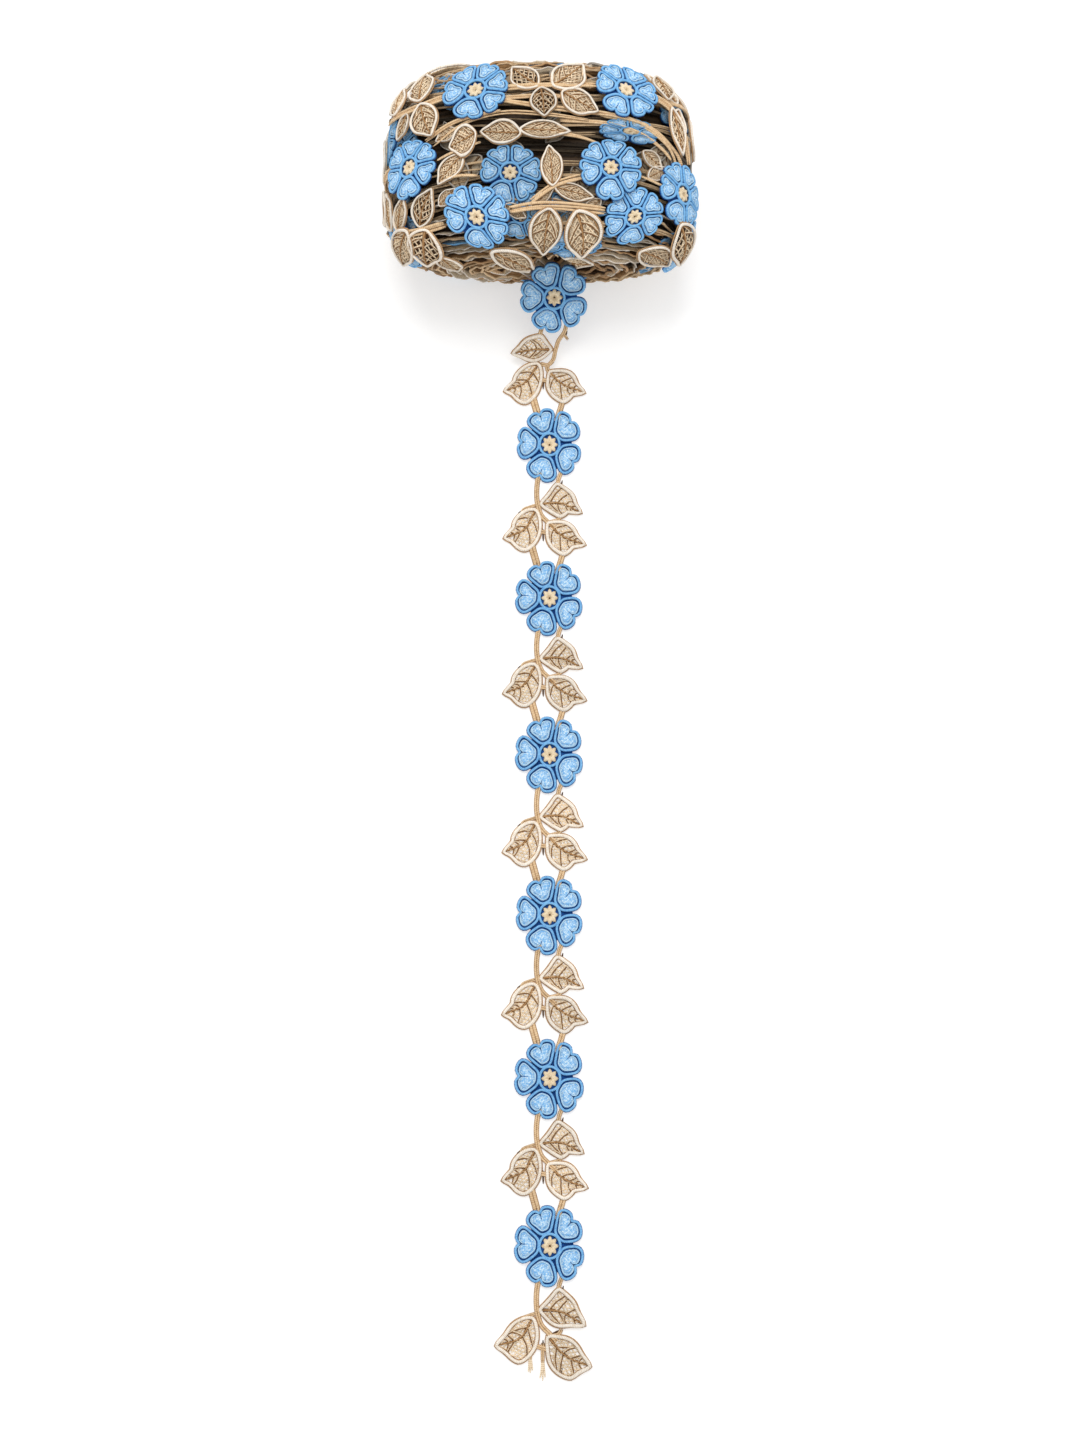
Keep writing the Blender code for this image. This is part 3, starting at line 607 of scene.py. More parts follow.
# The loose end, on the floor and then up against the roll
looseEnd = {
    "repeat": 59.9 * mm,
    "flowers": 7,
    "stretch": 1.15,
    "firstFloorFlower": -95.3 * mm,
    "centreX": 3.1 * mm,
    "leanStart": -72 * mm,
    "leanRadius": 20 * mm,
    "leanAngle": math.radians(45),
    "leanShift": 1.8 * mm,
    "leanTop": 32.7 * mm,
    "petalAngles": (176, 110, 44, -34, -109),
    # each leaf: centre, long axis, half length and width, corners (direction, reach, spread), then its base
    "leaves": {
        "upperRight": (
            (4.2, -22.6, 0, 5.9, 5.7,
             ((-28, 3.5, 14), (101, 2.2, 22), (186, 2.3, 19), (-56, -0.7, 12), (-92, 0.7, 14))), 186),
        "lowerLeft": (
            (-9.0, -33.6, 75, 7.8, 5.9,
             ((200, 2.9, 14), (66, 1.7, 23), (268, 0.7, 23), (168, -0.5, 12))), 66),
        "lowerRight": (
            (4.7, -36.2, -60, 6.5, 6.0,
             ((-19, 3.5, 14), (135, 1.8, 18), (-85, 1.1, 20), (-45, -0.5, 12))), 135),
    },
    "turnedLeaf": ((-7.6, -21.4, 0, 5.8, 5.5, ((193, 3.0, 17), (66, 1.3, 20), (-3, 1.4, 17))), -3),
    "endLeaves": {
        "upperRight": ((3.9, -22.7, 0, 6.2, 6.0, ((-31, 4.3, 18), (95, 2.2, 21), (178, 1.9, 18))), 178),
        "lowerLeft": ((-10.4, -32.9, 70, 7.6, 6.2, ((193, 3.2, 18), (61, 1.8, 22), (264, 1.0, 22))), 61),
        "lowerRight": ((5.4, -38.9, -62, 7.5, 6.4, ((-20, 3.2, 17), (131, 2.6, 18), (-76, 0.8, 20))), 131),
    },
    "stems": {  # width and points
        "mainStem": (1.65, (
            (-2.8, -9), (-4.3, -13), (-4.9, -18), (-4.6, -23), (-3.2, -27.6), (-0.6, -30.4), (2.6, -33.4))),
        "flowerTie": (1.4, ((4.6, -10.5), (3.4, -13.5), (3.0, -16.5))),
        "leafStalk": (1.2, ((-4.6, -23.4), (-2.4, -23.0))),
        "leafLink": (1.3, ((4.2, -27.6), (3.4, -29.4), (-0.4, -30.4))),
        "leftTendril": (1.1, ((-4.8, -23.6), (-8.0, -24.6), (-9.8, -25.4), (-10.8, -27.0))),
    },
    "turnedStems": {
        "mainStem": (1.4, (
            (4.8, -10.5), (3.8, -14.5), (1.6, -18), (0.6, -22), (0.2, -26), (-1.8, -29.2), (0.8, -32.6))),
        "stemFork": (1.0, ((3.4, -15.0), (5.2, -17.6))),
        "flowerTie": (1.4, ((-4.6, -11.5), (-5.6, -16.5))),
        "leafStalk": (1.4, ((-4.6, -27.6), (-1.6, -28.2), (0.2, -26.6))),
    },
    "feet": {  # below both
        "leafBar": (1.6, ((-4.2, -34.0), (-0.2, -34.6))),
        "leftFoot": (2.4, ((-7.0, -39.0), (-4.6, -47.5))),
        "rightFoot": (1.9, ((5.0, -42.8), (3.0, -49.5))),
    },
    "endStems": {  # in place of those named so
        "leafLink": (1.3, ((4.2, -29.0), (3.0, -31.0), (0.4, -31.4))),
        "leafBar": (1.6, ((-5.6, -35.0), (-0.6, -36.4))),
        "leftFoot": (1.2, ((-7.3, -37.0), (-7.1, -40.0))),
        "rightFoot": (1.2, ((-2.6, -34.0), (-2.6, -41.0))),
    },
    "cutStrands": (  # the frayed ends of the last two cords
        ((-7.4, -39.0), (-7.5, -42.0), (-7.8, -44.1)),
        ((-7.1, -39.0), (-7.0, -42.4), (-7.1, -44.5)),
        ((-6.8, -39.0), (-6.5, -41.8), (-6.2, -43.6)),
        ((-2.9, -40.0), (-3.1, -44.0), (-3.7, -46.3)),
        ((-2.6, -40.0), (-2.6, -44.6), (-2.6, -47.2)),
        ((-2.3, -40.0), (-2.0, -44.0), (-1.7, -46.0)),
    ),
    # dark marks of painted shade, in the shade thread
    "paintedShadeTies": (  # short ones, behind the leaf tips and forks
        ((-10.0, -25.6), (-12.0, -26.9)),
        ((-4.4, -25.2), (-3.2, -23.4)),
        ((3.4, -29.6), (0.6, -31.0), (-1.4, -31.9)),
        ((-2.5, -33.0), (-2.4, -37.8)),
        ((4.9, -14.0), (4.3, -16.2)),
        ((4.4, -42.6), (3.9, -45.2)),
    ),
}


def stripPoints(points):
    x, along, height = points.T
    e = looseEnd
    past = along - e["leanStart"]
    bend = np.clip(past / e["leanRadius"], 0, e["leanAngle"])
    straight = np.maximum(past - e["leanRadius"] * e["leanAngle"], 0)
    x = x + e["leanShift"] * bend / e["leanAngle"]
    y = np.where(past <= 0, along, e["leanStart"] + e["leanRadius"] * np.sin(bend) + straight * np.cos(bend))
    z = e["leanRadius"] * (1 - np.cos(bend)) + straight * np.sin(bend)
    return np.column_stack([x, y - height * np.sin(bend), z + height * np.cos(bend)])


def makeLooseEnd():
    e = looseEnd
    flowers, vine = Stitching(), Stitching()
    dice = random.Random(11)
    blooms = [makeFlower(e["petalAngles"], 1.0, e["stretch"], wobble=0.03, seed=n) for n in range(3)]
    leaves = {
        name: [makeLeaf(row, base, seed=n + 5) for n in range(2)]
        for name, (row, base) in e["leaves"].items()
    }
    endLeaves = {name: makeLeaf(row, base, seed=9) for name, (row, base) in e["endLeaves"].items()}
    turnedLeaf = makeLeaf(*e["turnedLeaf"], seed=8)

    def lay(work, motif, spot, tint=1.0):
        work.take(motif, stripPoints(placed(motif, spot)), tint)

    for k in range(e["flowers"]):
        first, last = k == 0, k == e["flowers"] - 1
        spot = (e["centreX"], e["firstFloorFlower"] + e["repeat"] * (1 - k))
        lay(flowers, blooms[k % 3], spot, dice.uniform(0.94, 1.04))
        for name in leaves:
            leaf = endLeaves[name] if last else leaves[name][k % 2]
            if first and name == "upperRight":
                leaf = turnedLeaf
            lower = 2 * mm if first and name == "lowerLeft" else 0
            lay(vine, leaf, (spot[0], spot[1] - lower), dice.uniform(0.94, 1.05))
        table = {**e["turnedStems" if first else "stems"], **e["feet"], **(e["endStems"] if last else {})}
        for n, (width, points) in enumerate(table.values()):
            lay(vine, makeStem(points, width, seed=k + n), spot, dice.uniform(0.92, 1.05))
        for points in e["cutStrands"] if last else ():
            lay(vine, makeStem(points, 0.66, thread="net"), spot)
        # the ties are painted shade behind the leaf tips and forks
        for points in e["paintedShadeTies"][3 if first else 0 :]:
            lay(vine, makeStem(points, 0.7, 0.8, thread="shade"), spot)
    bloomPiece = addPiece("looseEndFlowers", flowers)
    vinePiece = addPiece("looseEndVine", vine)
    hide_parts("loose_end")


makeLooseEnd()
print("loose end made")

# The roll's bare form, as the frame has it
low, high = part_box("wound_roll")
relief = 1.8 * mm
rollForm = {
    "width": high[0] - low[0] - 2 * relief,
    "flatSink": 1.2 * mm,
    "halfLength": 39 * mm,
    "lengthGrowth": 1.5 * mm,
    "aroundPower": 2.5,
    "farPower": (3.7, 0.6),  # at the sides, and what the top loses
    "nearPower": (4.8, 1.5),
    "pressedHeight": 1.5 * mm,
    "seatHalfWidth": 14.6 * mm,
    "seatSideRamp": 4 * mm,
    "seatNarrowing": 0.8,  # of the seat above the loose end
    "seatGap": 1.5 * mm,
    "motifGap": 0.3 * mm,
    "viewSlope": 0.37,  # how far the camera looks in under the turns above the seat
}
rollForm["height"] = high[2] - relief + rollForm["flatSink"]


def powerOf(value, exponent):
    return np.sign(value) * np.abs(value) ** exponent


def ringPoint(angle):
    share = 2 / rollForm["aroundPower"]
    x = rollForm["width"] / 2 * powerOf(np.sin(angle), share)
    return x, rollForm["height"] / 2 * powerOf(np.cos(angle), share)


def arcTable(x, y):
    return np.concatenate([[0], np.cumsum(np.hypot(np.diff(x), np.diff(y)))])


ringAngles = np.linspace(-math.pi, math.pi, 4000)
ringArc = arcTable(*ringPoint(ringAngles))
girth = ringArc[-1]
profileAngles = np.linspace(-math.pi / 2, math.pi / 2, 4000)
profileShare = 2 / rollForm["farPower"][0]
profileArc = arcTable(
    rollForm["halfLength"] * powerOf(np.sin(profileAngles), profileShare),
    girth / 2 / math.pi * powerOf(np.cos(profileAngles), profileShare),
)
reach = profileArc[-1]


def bareRoll(around, along):
    around = (around + girth / 2) % girth
    x, z = ringPoint(np.interp(around, ringArc, ringAngles))
    upward = z / (rollForm["height"] / 2)
    angle = np.interp(along + reach / 2, profileArc, profileAngles)
    (farPower, farChange), (nearPower, nearChange) = rollForm["farPower"], rollForm["nearPower"]
    share = 2 / np.where(along < 0, nearPower - nearChange * np.abs(upward), farPower - farChange * upward)
    y = (rollForm["halfLength"] + rollForm["lengthGrowth"] * upward) * powerOf(np.sin(angle), share)
    narrow = powerOf(np.cos(angle), share)
    return np.stack([x * narrow, y, z * narrow], axis=-1)


def rollNormal(around, along):
    step = 0.4 * mm
    along = np.clip(along, -reach / 2 + step, reach / 2 - step)
    across = bareRoll(around + step, along) - bareRoll(around - step, along)
    ahead = bareRoll(around, along + step) - bareRoll(around, along - step)
    normal = np.cross(across, ahead)
    return normal / np.maximum(np.linalg.norm(normal, axis=-1, keepdims=True), 1e-12)


def overRoll(around, along, height):  # points over the bare form, standing on the floor
    found = bareRoll(around, along) + rollNormal(around, along) * height[:, None]
    found[:, 2] += rollForm["height"] / 2 - rollForm["flatSink"]
    pressed = rollForm["pressedHeight"]  # under it the lace is squeezed, in order, and not cut level
    low = found[:, 2] < pressed
    found[low, 2] = pressed * np.exp(found[low, 2] / pressed - 1)
    return found


def rollPoints(points):  # around, along and height over the bare form, to the row frame
    bare = bareRoll(*points[:, :2].T)
    found = overRoll(*points.T)
    # room for the loose end, which leans on this end
    over = np.maximum(found[:, 2] - looseEnd["leanTop"], 0)
    aside = np.abs(found[:, 0] - looseEnd["centreX"] - looseEnd["leanShift"])
    beside = aside - rollForm["seatHalfWidth"] + rollForm["seatNarrowing"] * over
    share = np.clip(1 - beside / rollForm["seatSideRamp"], 0, 1) * (bare[:, 1] < 0)
    back = stripBack(found[:, 2])
    clear = np.clip(rollForm["seatGap"] - 0.2 * over, 0, None)
    found[:, 1] += share * np.maximum(back + clear - bare[:, 1], 0)
    found[:, 1] += share * np.maximum(back + rollForm["motifGap"] - found[:, 1], 0)
    return found


def stripBack(z):  # the loose end's back at this height, and above it the camera's line past its end
    e = looseEnd
    bentTo = e["leanRadius"] * (1 - math.cos(e["leanAngle"]))
    level = np.minimum(z, e["leanTop"])
    low = np.clip(level, 0, bentTo)
    back = e["leanStart"] + np.sqrt(e["leanRadius"] ** 2 - (e["leanRadius"] - low) ** 2)
    back += np.maximum(level - bentTo, 0) / math.tan(e["leanAngle"])
    return back - rollForm["viewSlope"] * np.maximum(z - e["leanTop"], 0)


# Where a pixel of the photo meets the roll, in around and along
gridAround, gridAlong = np.meshgrid(
    np.arange(-girth / 2, girth / 2, 0.7 * mm), np.arange(-reach / 2, reach / 2, 0.7 * mm), indexing="ij"
)
gridSpots = np.column_stack([gridAround.ravel(), gridAlong.ravel(), np.full(gridAround.size, 1.0 * mm)])
gridPoints = overRoll(*gridSpots.T)
gridFacing = np.einsum(
    "ij,ij->i",
    rollNormal(gridSpots[:, 0], gridSpots[:, 1]),
    np.array(bpy.context.scene.camera.location) - gridPoints,
)
gridSeen = gridFacing > 0.03 * picture["distance"]
gridPixels = inPicture(gridPoints)


def rollSpot(pixel):
    away = np.hypot(*(gridPixels - pixel).T) + np.where(gridSeen, 0, 1e6)
    return gridSpots[int(np.argmin(away)), :2]


def seenByCamera(around, along, limit=0.25):
    away = np.abs(gridSpots[:, 0] - around) + np.abs(gridSpots[:, 1] - along)
    return gridFacing[int(np.argmin(away))] > limit * picture["distance"]


print("roll form ready, girth", round(girth, 4), "reach", round(reach, 4))

# Motifs that show on the roll, by their pixels in the photo. Their lift over the bare form is in millimetres
rollFlowers = [  # centre pixel, turn in degrees, size, lift, tilt along, squash along
    ((475, 91), 12, 0.97, 1.0, 0.0, 1.0),
    ((625, 91), -8, 0.93, 1.0, 0.0, 1.0),
    ((411, 168), 20, 0.93, 1.0, 0.0, 1.0),
    ((510, 171), 0, 0.93, -1.0, 0.02, 1.0),
    ((611, 169), 24, 0.93, 1.0, 0.0, 1.0),
    ((477, 218), 8, 0.95, 1.0, 0.0, 1.0),
    ((635, 217), 40, 0.90, -0.9, 0.0, 1.0),
    ((682, 194), 10, 0.90, 0.7, 0.0, 1.0),
    ((632, 131), 60, 0.95, -1.3, 0.0, 0.42),
    ((571, 247), 15, 0.85, -0.6, 0.0, 0.55),
    ((388, 138), 0, 0.85, -1.0, 0.0, 1.0),
    ((397, 246), 0, 0.90, -0.9, 0.0, 1.0),
    ((691, 254), 0, 0.90, -0.5, 0.0, 1.0),
    ((520, 215), 0, 0.80, -2.4, 0.0, 1.0),
]
rollLeaves = [  # base pixel, tip pixel, width share, lift
    ((537, 87), (511, 70), 1.05, 0.8),
    ((554, 86), (584, 69), 1.10, 1.0),
    ((541, 89), (546, 117), 1.20, 0.8),
    ((563, 93), (597, 114), 0.95, 0.9),
    ((421, 103), (430, 78), 1.05, 1.2),
    ((398, 115), (403, 89), 1.05, 1.2),
    ((423, 107), (430, 138), 1.10, 1.3),
    ((408, 116), (400, 141), 0.75, 0.9),
    ((476, 134), (450, 152), 1.10, 0.6),
    ((520, 133), (481, 135), 0.95, 0.9),
    ((522, 131), (571, 131), 0.55, 0.6),
    ((462, 155), (437, 184), 0.80, -0.6),
    ((553, 185), (551, 147), 0.75, 1.0),
    ((556, 188), (593, 198), 0.60, 0.2),
    ((531, 206), (554, 189), 0.50, 0.0),
    ((549, 210), (541, 252), 1.02, 1.4),
    ((576, 212), (583, 255), 0.96, 1.5),
    ((422, 226), (431, 189), 0.85, 1.0),
    ((400, 230), (406, 198), 0.80, 0.6),
    ((392, 230), (388, 193), 0.80, 0.2),
    ((409, 231), (419, 272), 0.72, 1.9),
    ((427, 230), (443, 272), 0.92, 1.4),
    ((440, 206), (453, 189), 0.80, -0.8),
    ((655, 80), (668, 103), 1.15, 1.0),
    ((670, 112), (681, 157), 0.50, 1.2),
    ((644, 151), (664, 169), 0.90, -0.5),
    ((677, 226), (677, 261), 0.90, 1.6),
    ((641, 250), (659, 277), 0.75, 1.0),
    ((494, 250), (534, 270), 1.05, 1.0),
    ((556, 262), (592, 266), 0.72, 0.2),
    ((442, 258), (460, 270), 0.90, 0.1),
    ((505, 205), (524, 216), 0.8, -1.0),
    ((600, 200), (584, 214), 0.8, -1.0),
    ((455, 128), (436, 139), 0.9, -1.0),
    ((650, 176), (668, 168), 0.8, -0.8),
]
# these leaves get a backing of painted shade, as dark as the gaps below them
shadeBackedLeaves = (  # bases of those that lie over dark gaps
    (537, 87), (541, 89), (408, 116), (427, 230), (677, 226), (670, 112), (422, 226))
rollStems = [  # width, lift, pixels
    (2.2, 0.9, ((505, 89), (543, 87), (596, 88))),
    (2.0, 0.9, ((446, 98), (420, 107), (392, 124))),
    (2.0, 0.8, ((652, 96), (670, 110), (682, 135), (688, 165))),
    (1.8, 0.0, ((500, 98), (545, 96), (566, 98))),
    (1.6, -0.4, ((432, 146), (460, 124), (500, 113), (545, 113), (590, 119))),
    (1.8, 0.1, ((425, 141), (455, 122), (500, 110))),
    (1.8, 0.2, ((438, 161), (452, 152), (480, 142))),
    (2.0, 0.6, ((581, 178), (556, 186), (532, 202))),
    (2.2, 0.9, ((510, 211), (545, 206), (604, 211))),
    (2.2, 1.2, ((396, 237), (420, 231), (446, 224))),
    (1.8, -0.2, ((545, 130), (580, 136), (600, 145))),
    (1.8, -0.3, ((500, 100), (560, 108), (620, 116), (655, 128), (676, 150), (684, 166))),
    (1.8, -0.6, ((600, 112), (640, 124), (668, 145), (680, 172))),
    (1.6, -0.9, ((560, 118), (610, 122), (648, 136), (672, 160))),
    (1.8, 0.2, ((640, 176), (662, 186), (676, 190))),
    (1.8, -0.4, ((446, 178), (462, 176), (478, 175))),
    (3.2, 1.2, ((551, 254), (552, 262), (551, 270))),
    (1.8, -0.6, ((588, 221), (596, 225), (606, 225))),
]
rollPetalAngles = (168, 118, 60, 6, -48, -112)
plainLeaf = (0, 7.2, 90, 7.0, 6.1, ((84, 2.9, 15), (268, 1.2, 18), (140, 0.3, 25)))
leafLength = 16.8 * mm


def nearTop(around):  # the same place, by the shorter way from the top
    return (around + girth / 2) % girth - girth / 2


def stretchAt(spot):  # what one unit of around and of along measures there
    step = 0.5 * mm
    along = np.clip(spot[1], -reach / 2 + 2 * step, reach / 2 - 2 * step)
    around = spot[0]
    ends = [(around + step, along), (around - step, along), (around, along + step), (around, along - step)]
    points = bareRoll(*np.array(ends).T)
    lengths = np.linalg.norm(points[[0, 2]] - points[[1, 3]], axis=1) / (2 * step)
    return np.clip(lengths, 0.3, 2.5)


def stemOnRoll(work, spots, width, lift, dice, tint=1.0):
    stretch = np.append(stretchAt(spots[len(spots) // 2]), 1)
    path = smoothPath([(*(np.asarray(spot) * stretch[:2]), 0) for spot in spots], 2.2 * mm)
    flatEnough = np.linalg.norm(np.diff(path, axis=0), axis=1) > 1e-6
    path = path[np.concatenate([[True], flatEnough])]
    if len(path) < 3:
        return
    side = sideways(path)
    bundle = Stitching()
    strands = 3 if width > 1.9 else 2
    slow = np.arange(len(path)) * 0.13 + dice.uniform(0, 6)
    for n in range(strands):
        share = (n - (strands - 1) / 2) * (0.75 + 0.35 * np.sin(slow + n))
        strand = path + side * (width * mm * 0.5 * share)[:, None]
        strand[:, 2] = lift * mm + 0.9 * mm + 0.3 * mm * np.sin(slow * 1.7 + n * 2)
        layCord(bundle, strand, width * mm * dice.uniform(0.2, 0.27), "stem", 5)
    bundle = bundle.packed()
    work.take(bundle, rollPoints(bundle[0] / stretch), tint)


def leafOnRoll(work, leaves, base, tip, widthShare, lift, dice, tint=1.0):
    base, tip = np.asarray(base), np.asarray(tip)
    gap = tip - base
    gap[0] = nearTop(gap[0])
    stretch = np.append(stretchAt(base + gap / 2), 1)
    gap = gap * stretch[:2]
    size = np.clip(np.linalg.norm(gap) / leafLength, 0.5, 1.05)
    leaf = leaves[dice.randrange(len(leaves))]
    turn = math.atan2(gap[1], gap[0]) - math.pi / 2
    tilt = (dice.uniform(-0.03, 0.03), 0)
    spots = placed(leaf, (0, 0), turn, (size * widthShare, size), lift * mm, tilt)
    work.take(leaf, rollPoints(spots / stretch + (*base, 0)), tint * dice.uniform(0.9, 1.06))


def flowerOnRoll(work, flower, centre, turn, size, lift, tilt, tint=1.0, squash=1.0):
    stretch = np.append(stretchAt(centre), 1)
    spots = placed(flower, (0, 0), math.radians(turn), (size, size), lift * mm, (0, tilt))
    work.take(flower, rollPoints(spots * (1, squash, 1) / stretch + (*centre, 0)), tint)


turnRows = {
    "rows": ((22, -12, 6), (-2, 10, 5), (-26, -18, 6), (36, 4, 6)),  # along and first flower in mm, flowers
    "beneath": 0.3,  # share of the girth from the top, where the underside begins
    "beneathEnd": -18 * mm,  # underneath, the turns end further in
    "sideDrop": 1.6,  # at the sides, leaves and stems lie lower, inside the roll's outline
    "stemGap": 9 * mm,  # from a flower's middle to its stem
    "leafAside": 6.5 * mm,
    "leafFoot": 1.5 * mm,
    "leafTip": 15.5 * mm,
    "deepFlowers": 16,
    "deepLeaves": 80,
    "deepStems": 160,
    "deepShares": (0, 0.25, 0.5, 0.75, 1),  # where a deep stem has its points
}


def rollMotifs():
    sparse = {"cord": 0.5 * mm, "step": 1.5 * mm}
    leaves = [makeLeaf(plainLeaf, -90, seed=n + 40, net=1.1, backing="net", **sparse) for n in range(3)]
    return {
        "blooms": [makeFlower(rollPetalAngles, 0.95, 1.0, wobble=0.04, seed=n + 30) for n in range(2)],
        "leaves": leaves + [mirrored(leaf) for leaf in leaves],
        "shadeBackedLeaves": [makeLeaf(plainLeaf, -90, seed=44, net=1.5, backing="shade", **sparse)],
        "plainBlooms": [makeFlower(rollPetalAngles, 0.95, 1.0, False, 0.05, n + 50) for n in range(2)],
        "plainLeaves": [makeLeaf(plainLeaf, -90, False, n + 60, cord=0.5 * mm) for n in range(2)],
    }


def laySeenTurns(work, motifs, dice):
    for n, (pixel, turn, size, lift, tilt, squash) in enumerate(rollFlowers):
        # those lying deeper are darkened to 0.8 as painted shade
        tint = dice.uniform(0.94, 1.04) * (1 if lift > -1 else 0.8)
        flower = motifs["blooms"][n % 2]
        flowerOnRoll(work["rollFlowers"], flower, rollSpot(pixel), turn, size, lift, tilt, tint, squash)
    for n, (base, tip, widthShare, lift) in enumerate(rollLeaves):
        kinds = motifs["shadeBackedLeaves"] if base in shadeBackedLeaves else motifs["leaves"][n % 3 :: 3]
        leafOnRoll(work["rollLeaves"], kinds, rollSpot(base), rollSpot(tip), widthShare, lift, dice)
    for width, lift, pixels in rollStems:
        stemOnRoll(work["rollStems"], [rollSpot(pixel) for pixel in pixels], width, lift, dice)


def layHiddenTurns(work, motifs, dice):  # they run on round the sides, underneath and over the far edge
    e = turnRows
    for along, first, count in e["rows"]:
        repeat = girth / count
        for k in range(count):
            around = nearTop(first * mm + k * repeat)
            beneath = abs(around) > e["beneath"] * girth
            swing = along * mm + dice.uniform(-2, 2) * mm
            if beneath:
                swing = max(swing, e["beneathEnd"])
            if not seenByCamera(around, swing, -0.12):
                lift = dice.uniform(0.2, 1.2) if beneath else dice.uniform(-1.8, -1.0)
                flower = motifs["plainBlooms" if abs(around) > 0.31 * girth else "blooms"][k % 2]
                turn, tint = dice.uniform(0, 60), dice.uniform(0.9, 1.0)
                flowerOnRoll(work["rollFlowers"], flower, (around, swing), turn, 0.92, lift, 0, tint)
            middle = around + repeat / 2
            if seenByCamera(nearTop(middle), swing):
                continue
            drop = 0 if beneath else e["sideDrop"]
            ends = around + e["stemGap"], around + repeat - e["stemGap"]
            spots = [(ends[0], swing), (middle, swing + 1 * mm), (ends[1], swing)]
            stemOnRoll(work["rollStems"], spots, 2.2, 0.6 - drop, dice)
            kinds = motifs["leaves" if abs(around) < e["beneath"] * girth else "plainLeaves"]
            bothSides = swing > e["beneathEnd"] or abs(middle) < e["beneath"] * girth
            for x in (-e["leafAside"], e["leafAside"]):
                for side in (-1, 1) if bothSides else (1,):
                    base = (middle + x, swing + side * e["leafFoot"])
                    tip = (middle + x * 1.3 + dice.uniform(-3, 3) * mm, swing + side * e["leafTip"])
                    lift = dice.uniform(0.2, 1.0) - drop
                    leafOnRoll(work["rollLeaves"], kinds, base, tip, 0.85, lift, dice)


def layDeepTurns(deep, motifs, dice):  # seen through the gaps
    # the deep motifs' low tints are painted shade
    for n in range(turnRows["deepFlowers"]):
        spot = (dice.uniform(-0.5, 0.5) * girth, dice.uniform(-38, 38) * mm)
        turn, lift, tilt = dice.uniform(0, 60), dice.uniform(-4.2, -2.2), dice.uniform(-0.1, 0.1)
        flowerOnRoll(deep, motifs["plainBlooms"][n % 2], spot, turn, 0.85, lift, tilt, 0.6)
    for n in range(turnRows["deepLeaves"]):
        base = np.array([dice.uniform(-0.5, 0.5) * girth, dice.uniform(-32, 38) * mm])
        angle = math.radians(dice.choice((90, -90)) + dice.uniform(-50, 50))
        tip = base + 14 * mm * np.array([math.cos(angle), math.sin(angle)])
        widthShare, lift = dice.uniform(0.6, 0.95), dice.uniform(-4.2, -2.0)
        leafOnRoll(deep, motifs["plainLeaves"], base, tip, widthShare, lift, dice, 0.42)
    for n in range(turnRows["deepStems"]):
        start = dice.uniform(-0.5, 0.5) * girth
        along = dice.uniform(-40, 40) * mm
        length = dice.uniform(35, 110) * mm
        drift = dice.uniform(-5, 5) * mm
        spots = []
        for t in turnRows["deepShares"]:
            spots.append((start + length * t, along + drift * t + dice.uniform(-1.0, 1.0) * mm))
        lift, width = dice.uniform(-5.0, -1.8), dice.uniform(1.0, 1.8)
        # painted shade: the deeper, the darker
        tint = 0.9 + 0.32 * (lift + 1.8) - dice.uniform(0, 0.2)  # the deeper, the darker
        stemOnRoll(deep, spots, width, lift, dice, max(0.04, tint))


def makeRollTurns():
    dice = random.Random(21)
    motifs = rollMotifs()
    work = {name: Stitching() for name in ("rollFlowers", "rollLeaves", "rollStems", "deepTurns")}
    laySeenTurns(work, motifs, dice)
    layHiddenTurns(work, motifs, dice)
    layDeepTurns(work["deepTurns"], motifs, dice)
    pieces = {}
    for name, stitching in work.items():
        pieces[name] = addPiece(name, stitching)
    return pieces


# The turns' own edges, stacked at both ends of the roll
endEdges = {"rings": 19, "length": 26 * mm, "wave": 8 * mm, "rise": 0.5 * mm}
edgeKinds = {  # cord, web, cord radius
    "cream": ("leafRim", "net", 0.27 * mm),
    "tan": ("stem", "vein", 0.42 * mm),
    # its web is the shade thread: painted shade behind brown edges
    "brown": ("leafEdge", "shade", 0.5 * mm),
    "blue": ("rim", "petalFill", 0.4 * mm),
}


def layEdge(work, centre, along, length, lift, kind, dice):  # one turn's wavy edge and the cloth behind it
    stretch = np.append(stretchAt((centre, along)), 1)
    x = np.linspace(-length / 2, length / 2, round(length / (1.1 * mm)) + 1)
    swing = 2 * math.pi * x / (endEdges["wave"] * dice.uniform(0.8, 1.5)) + dice.uniform(0, 6)
    ends = (2 * x / length) ** 6
    h = lift + endEdges["rise"] * (np.sin(swing) + 0.4 * np.sin(2.3 * swing + lift / mm)) - 1.5 * mm * ends
    y = 0.6 * mm * np.cos(0.6 * swing) + dice.uniform(-1, 1) * x * 0.06
    cord, web, radius = edgeKinds[kind]
    tint = dice.uniform(0.7, 1.0)
    edge = Stitching()
    layCordSpace(edge, np.column_stack([x, y, h]), radius * dice.uniform(0.8, 1.2), cord, tint)
    # the cloth behind the edge is darkened to three quarters, as painted shade
    layWeb(edge, np.column_stack([x, y, h]), lift - 2.8 * mm, 0.2 * mm, web, tint * 0.75)
    edge = edge.packed()
    work.take(edge, rollPoints(edge[0] / stretch + (centre, along, 0)))


def layCordSpace(work, path, radius, thread, tint):  # a cord that stands on edge
    ahead = np.gradient(path, axis=0)
    ahead /= np.linalg.norm(ahead, axis=1)[:, None]
    side = np.cross(ahead, (0, 1, 0))
    side /= np.maximum(np.linalg.norm(side, axis=1), 1e-9)[:, None]
    up = np.cross(side, ahead)
    angle = 2 * math.pi * np.arange(5)[:, None] / 5
    rings = path[:, None] + radius * (side[:, None] * np.cos(angle) + up[:, None] * np.sin(angle))
    layTube(work, rings, path, thread, tint)


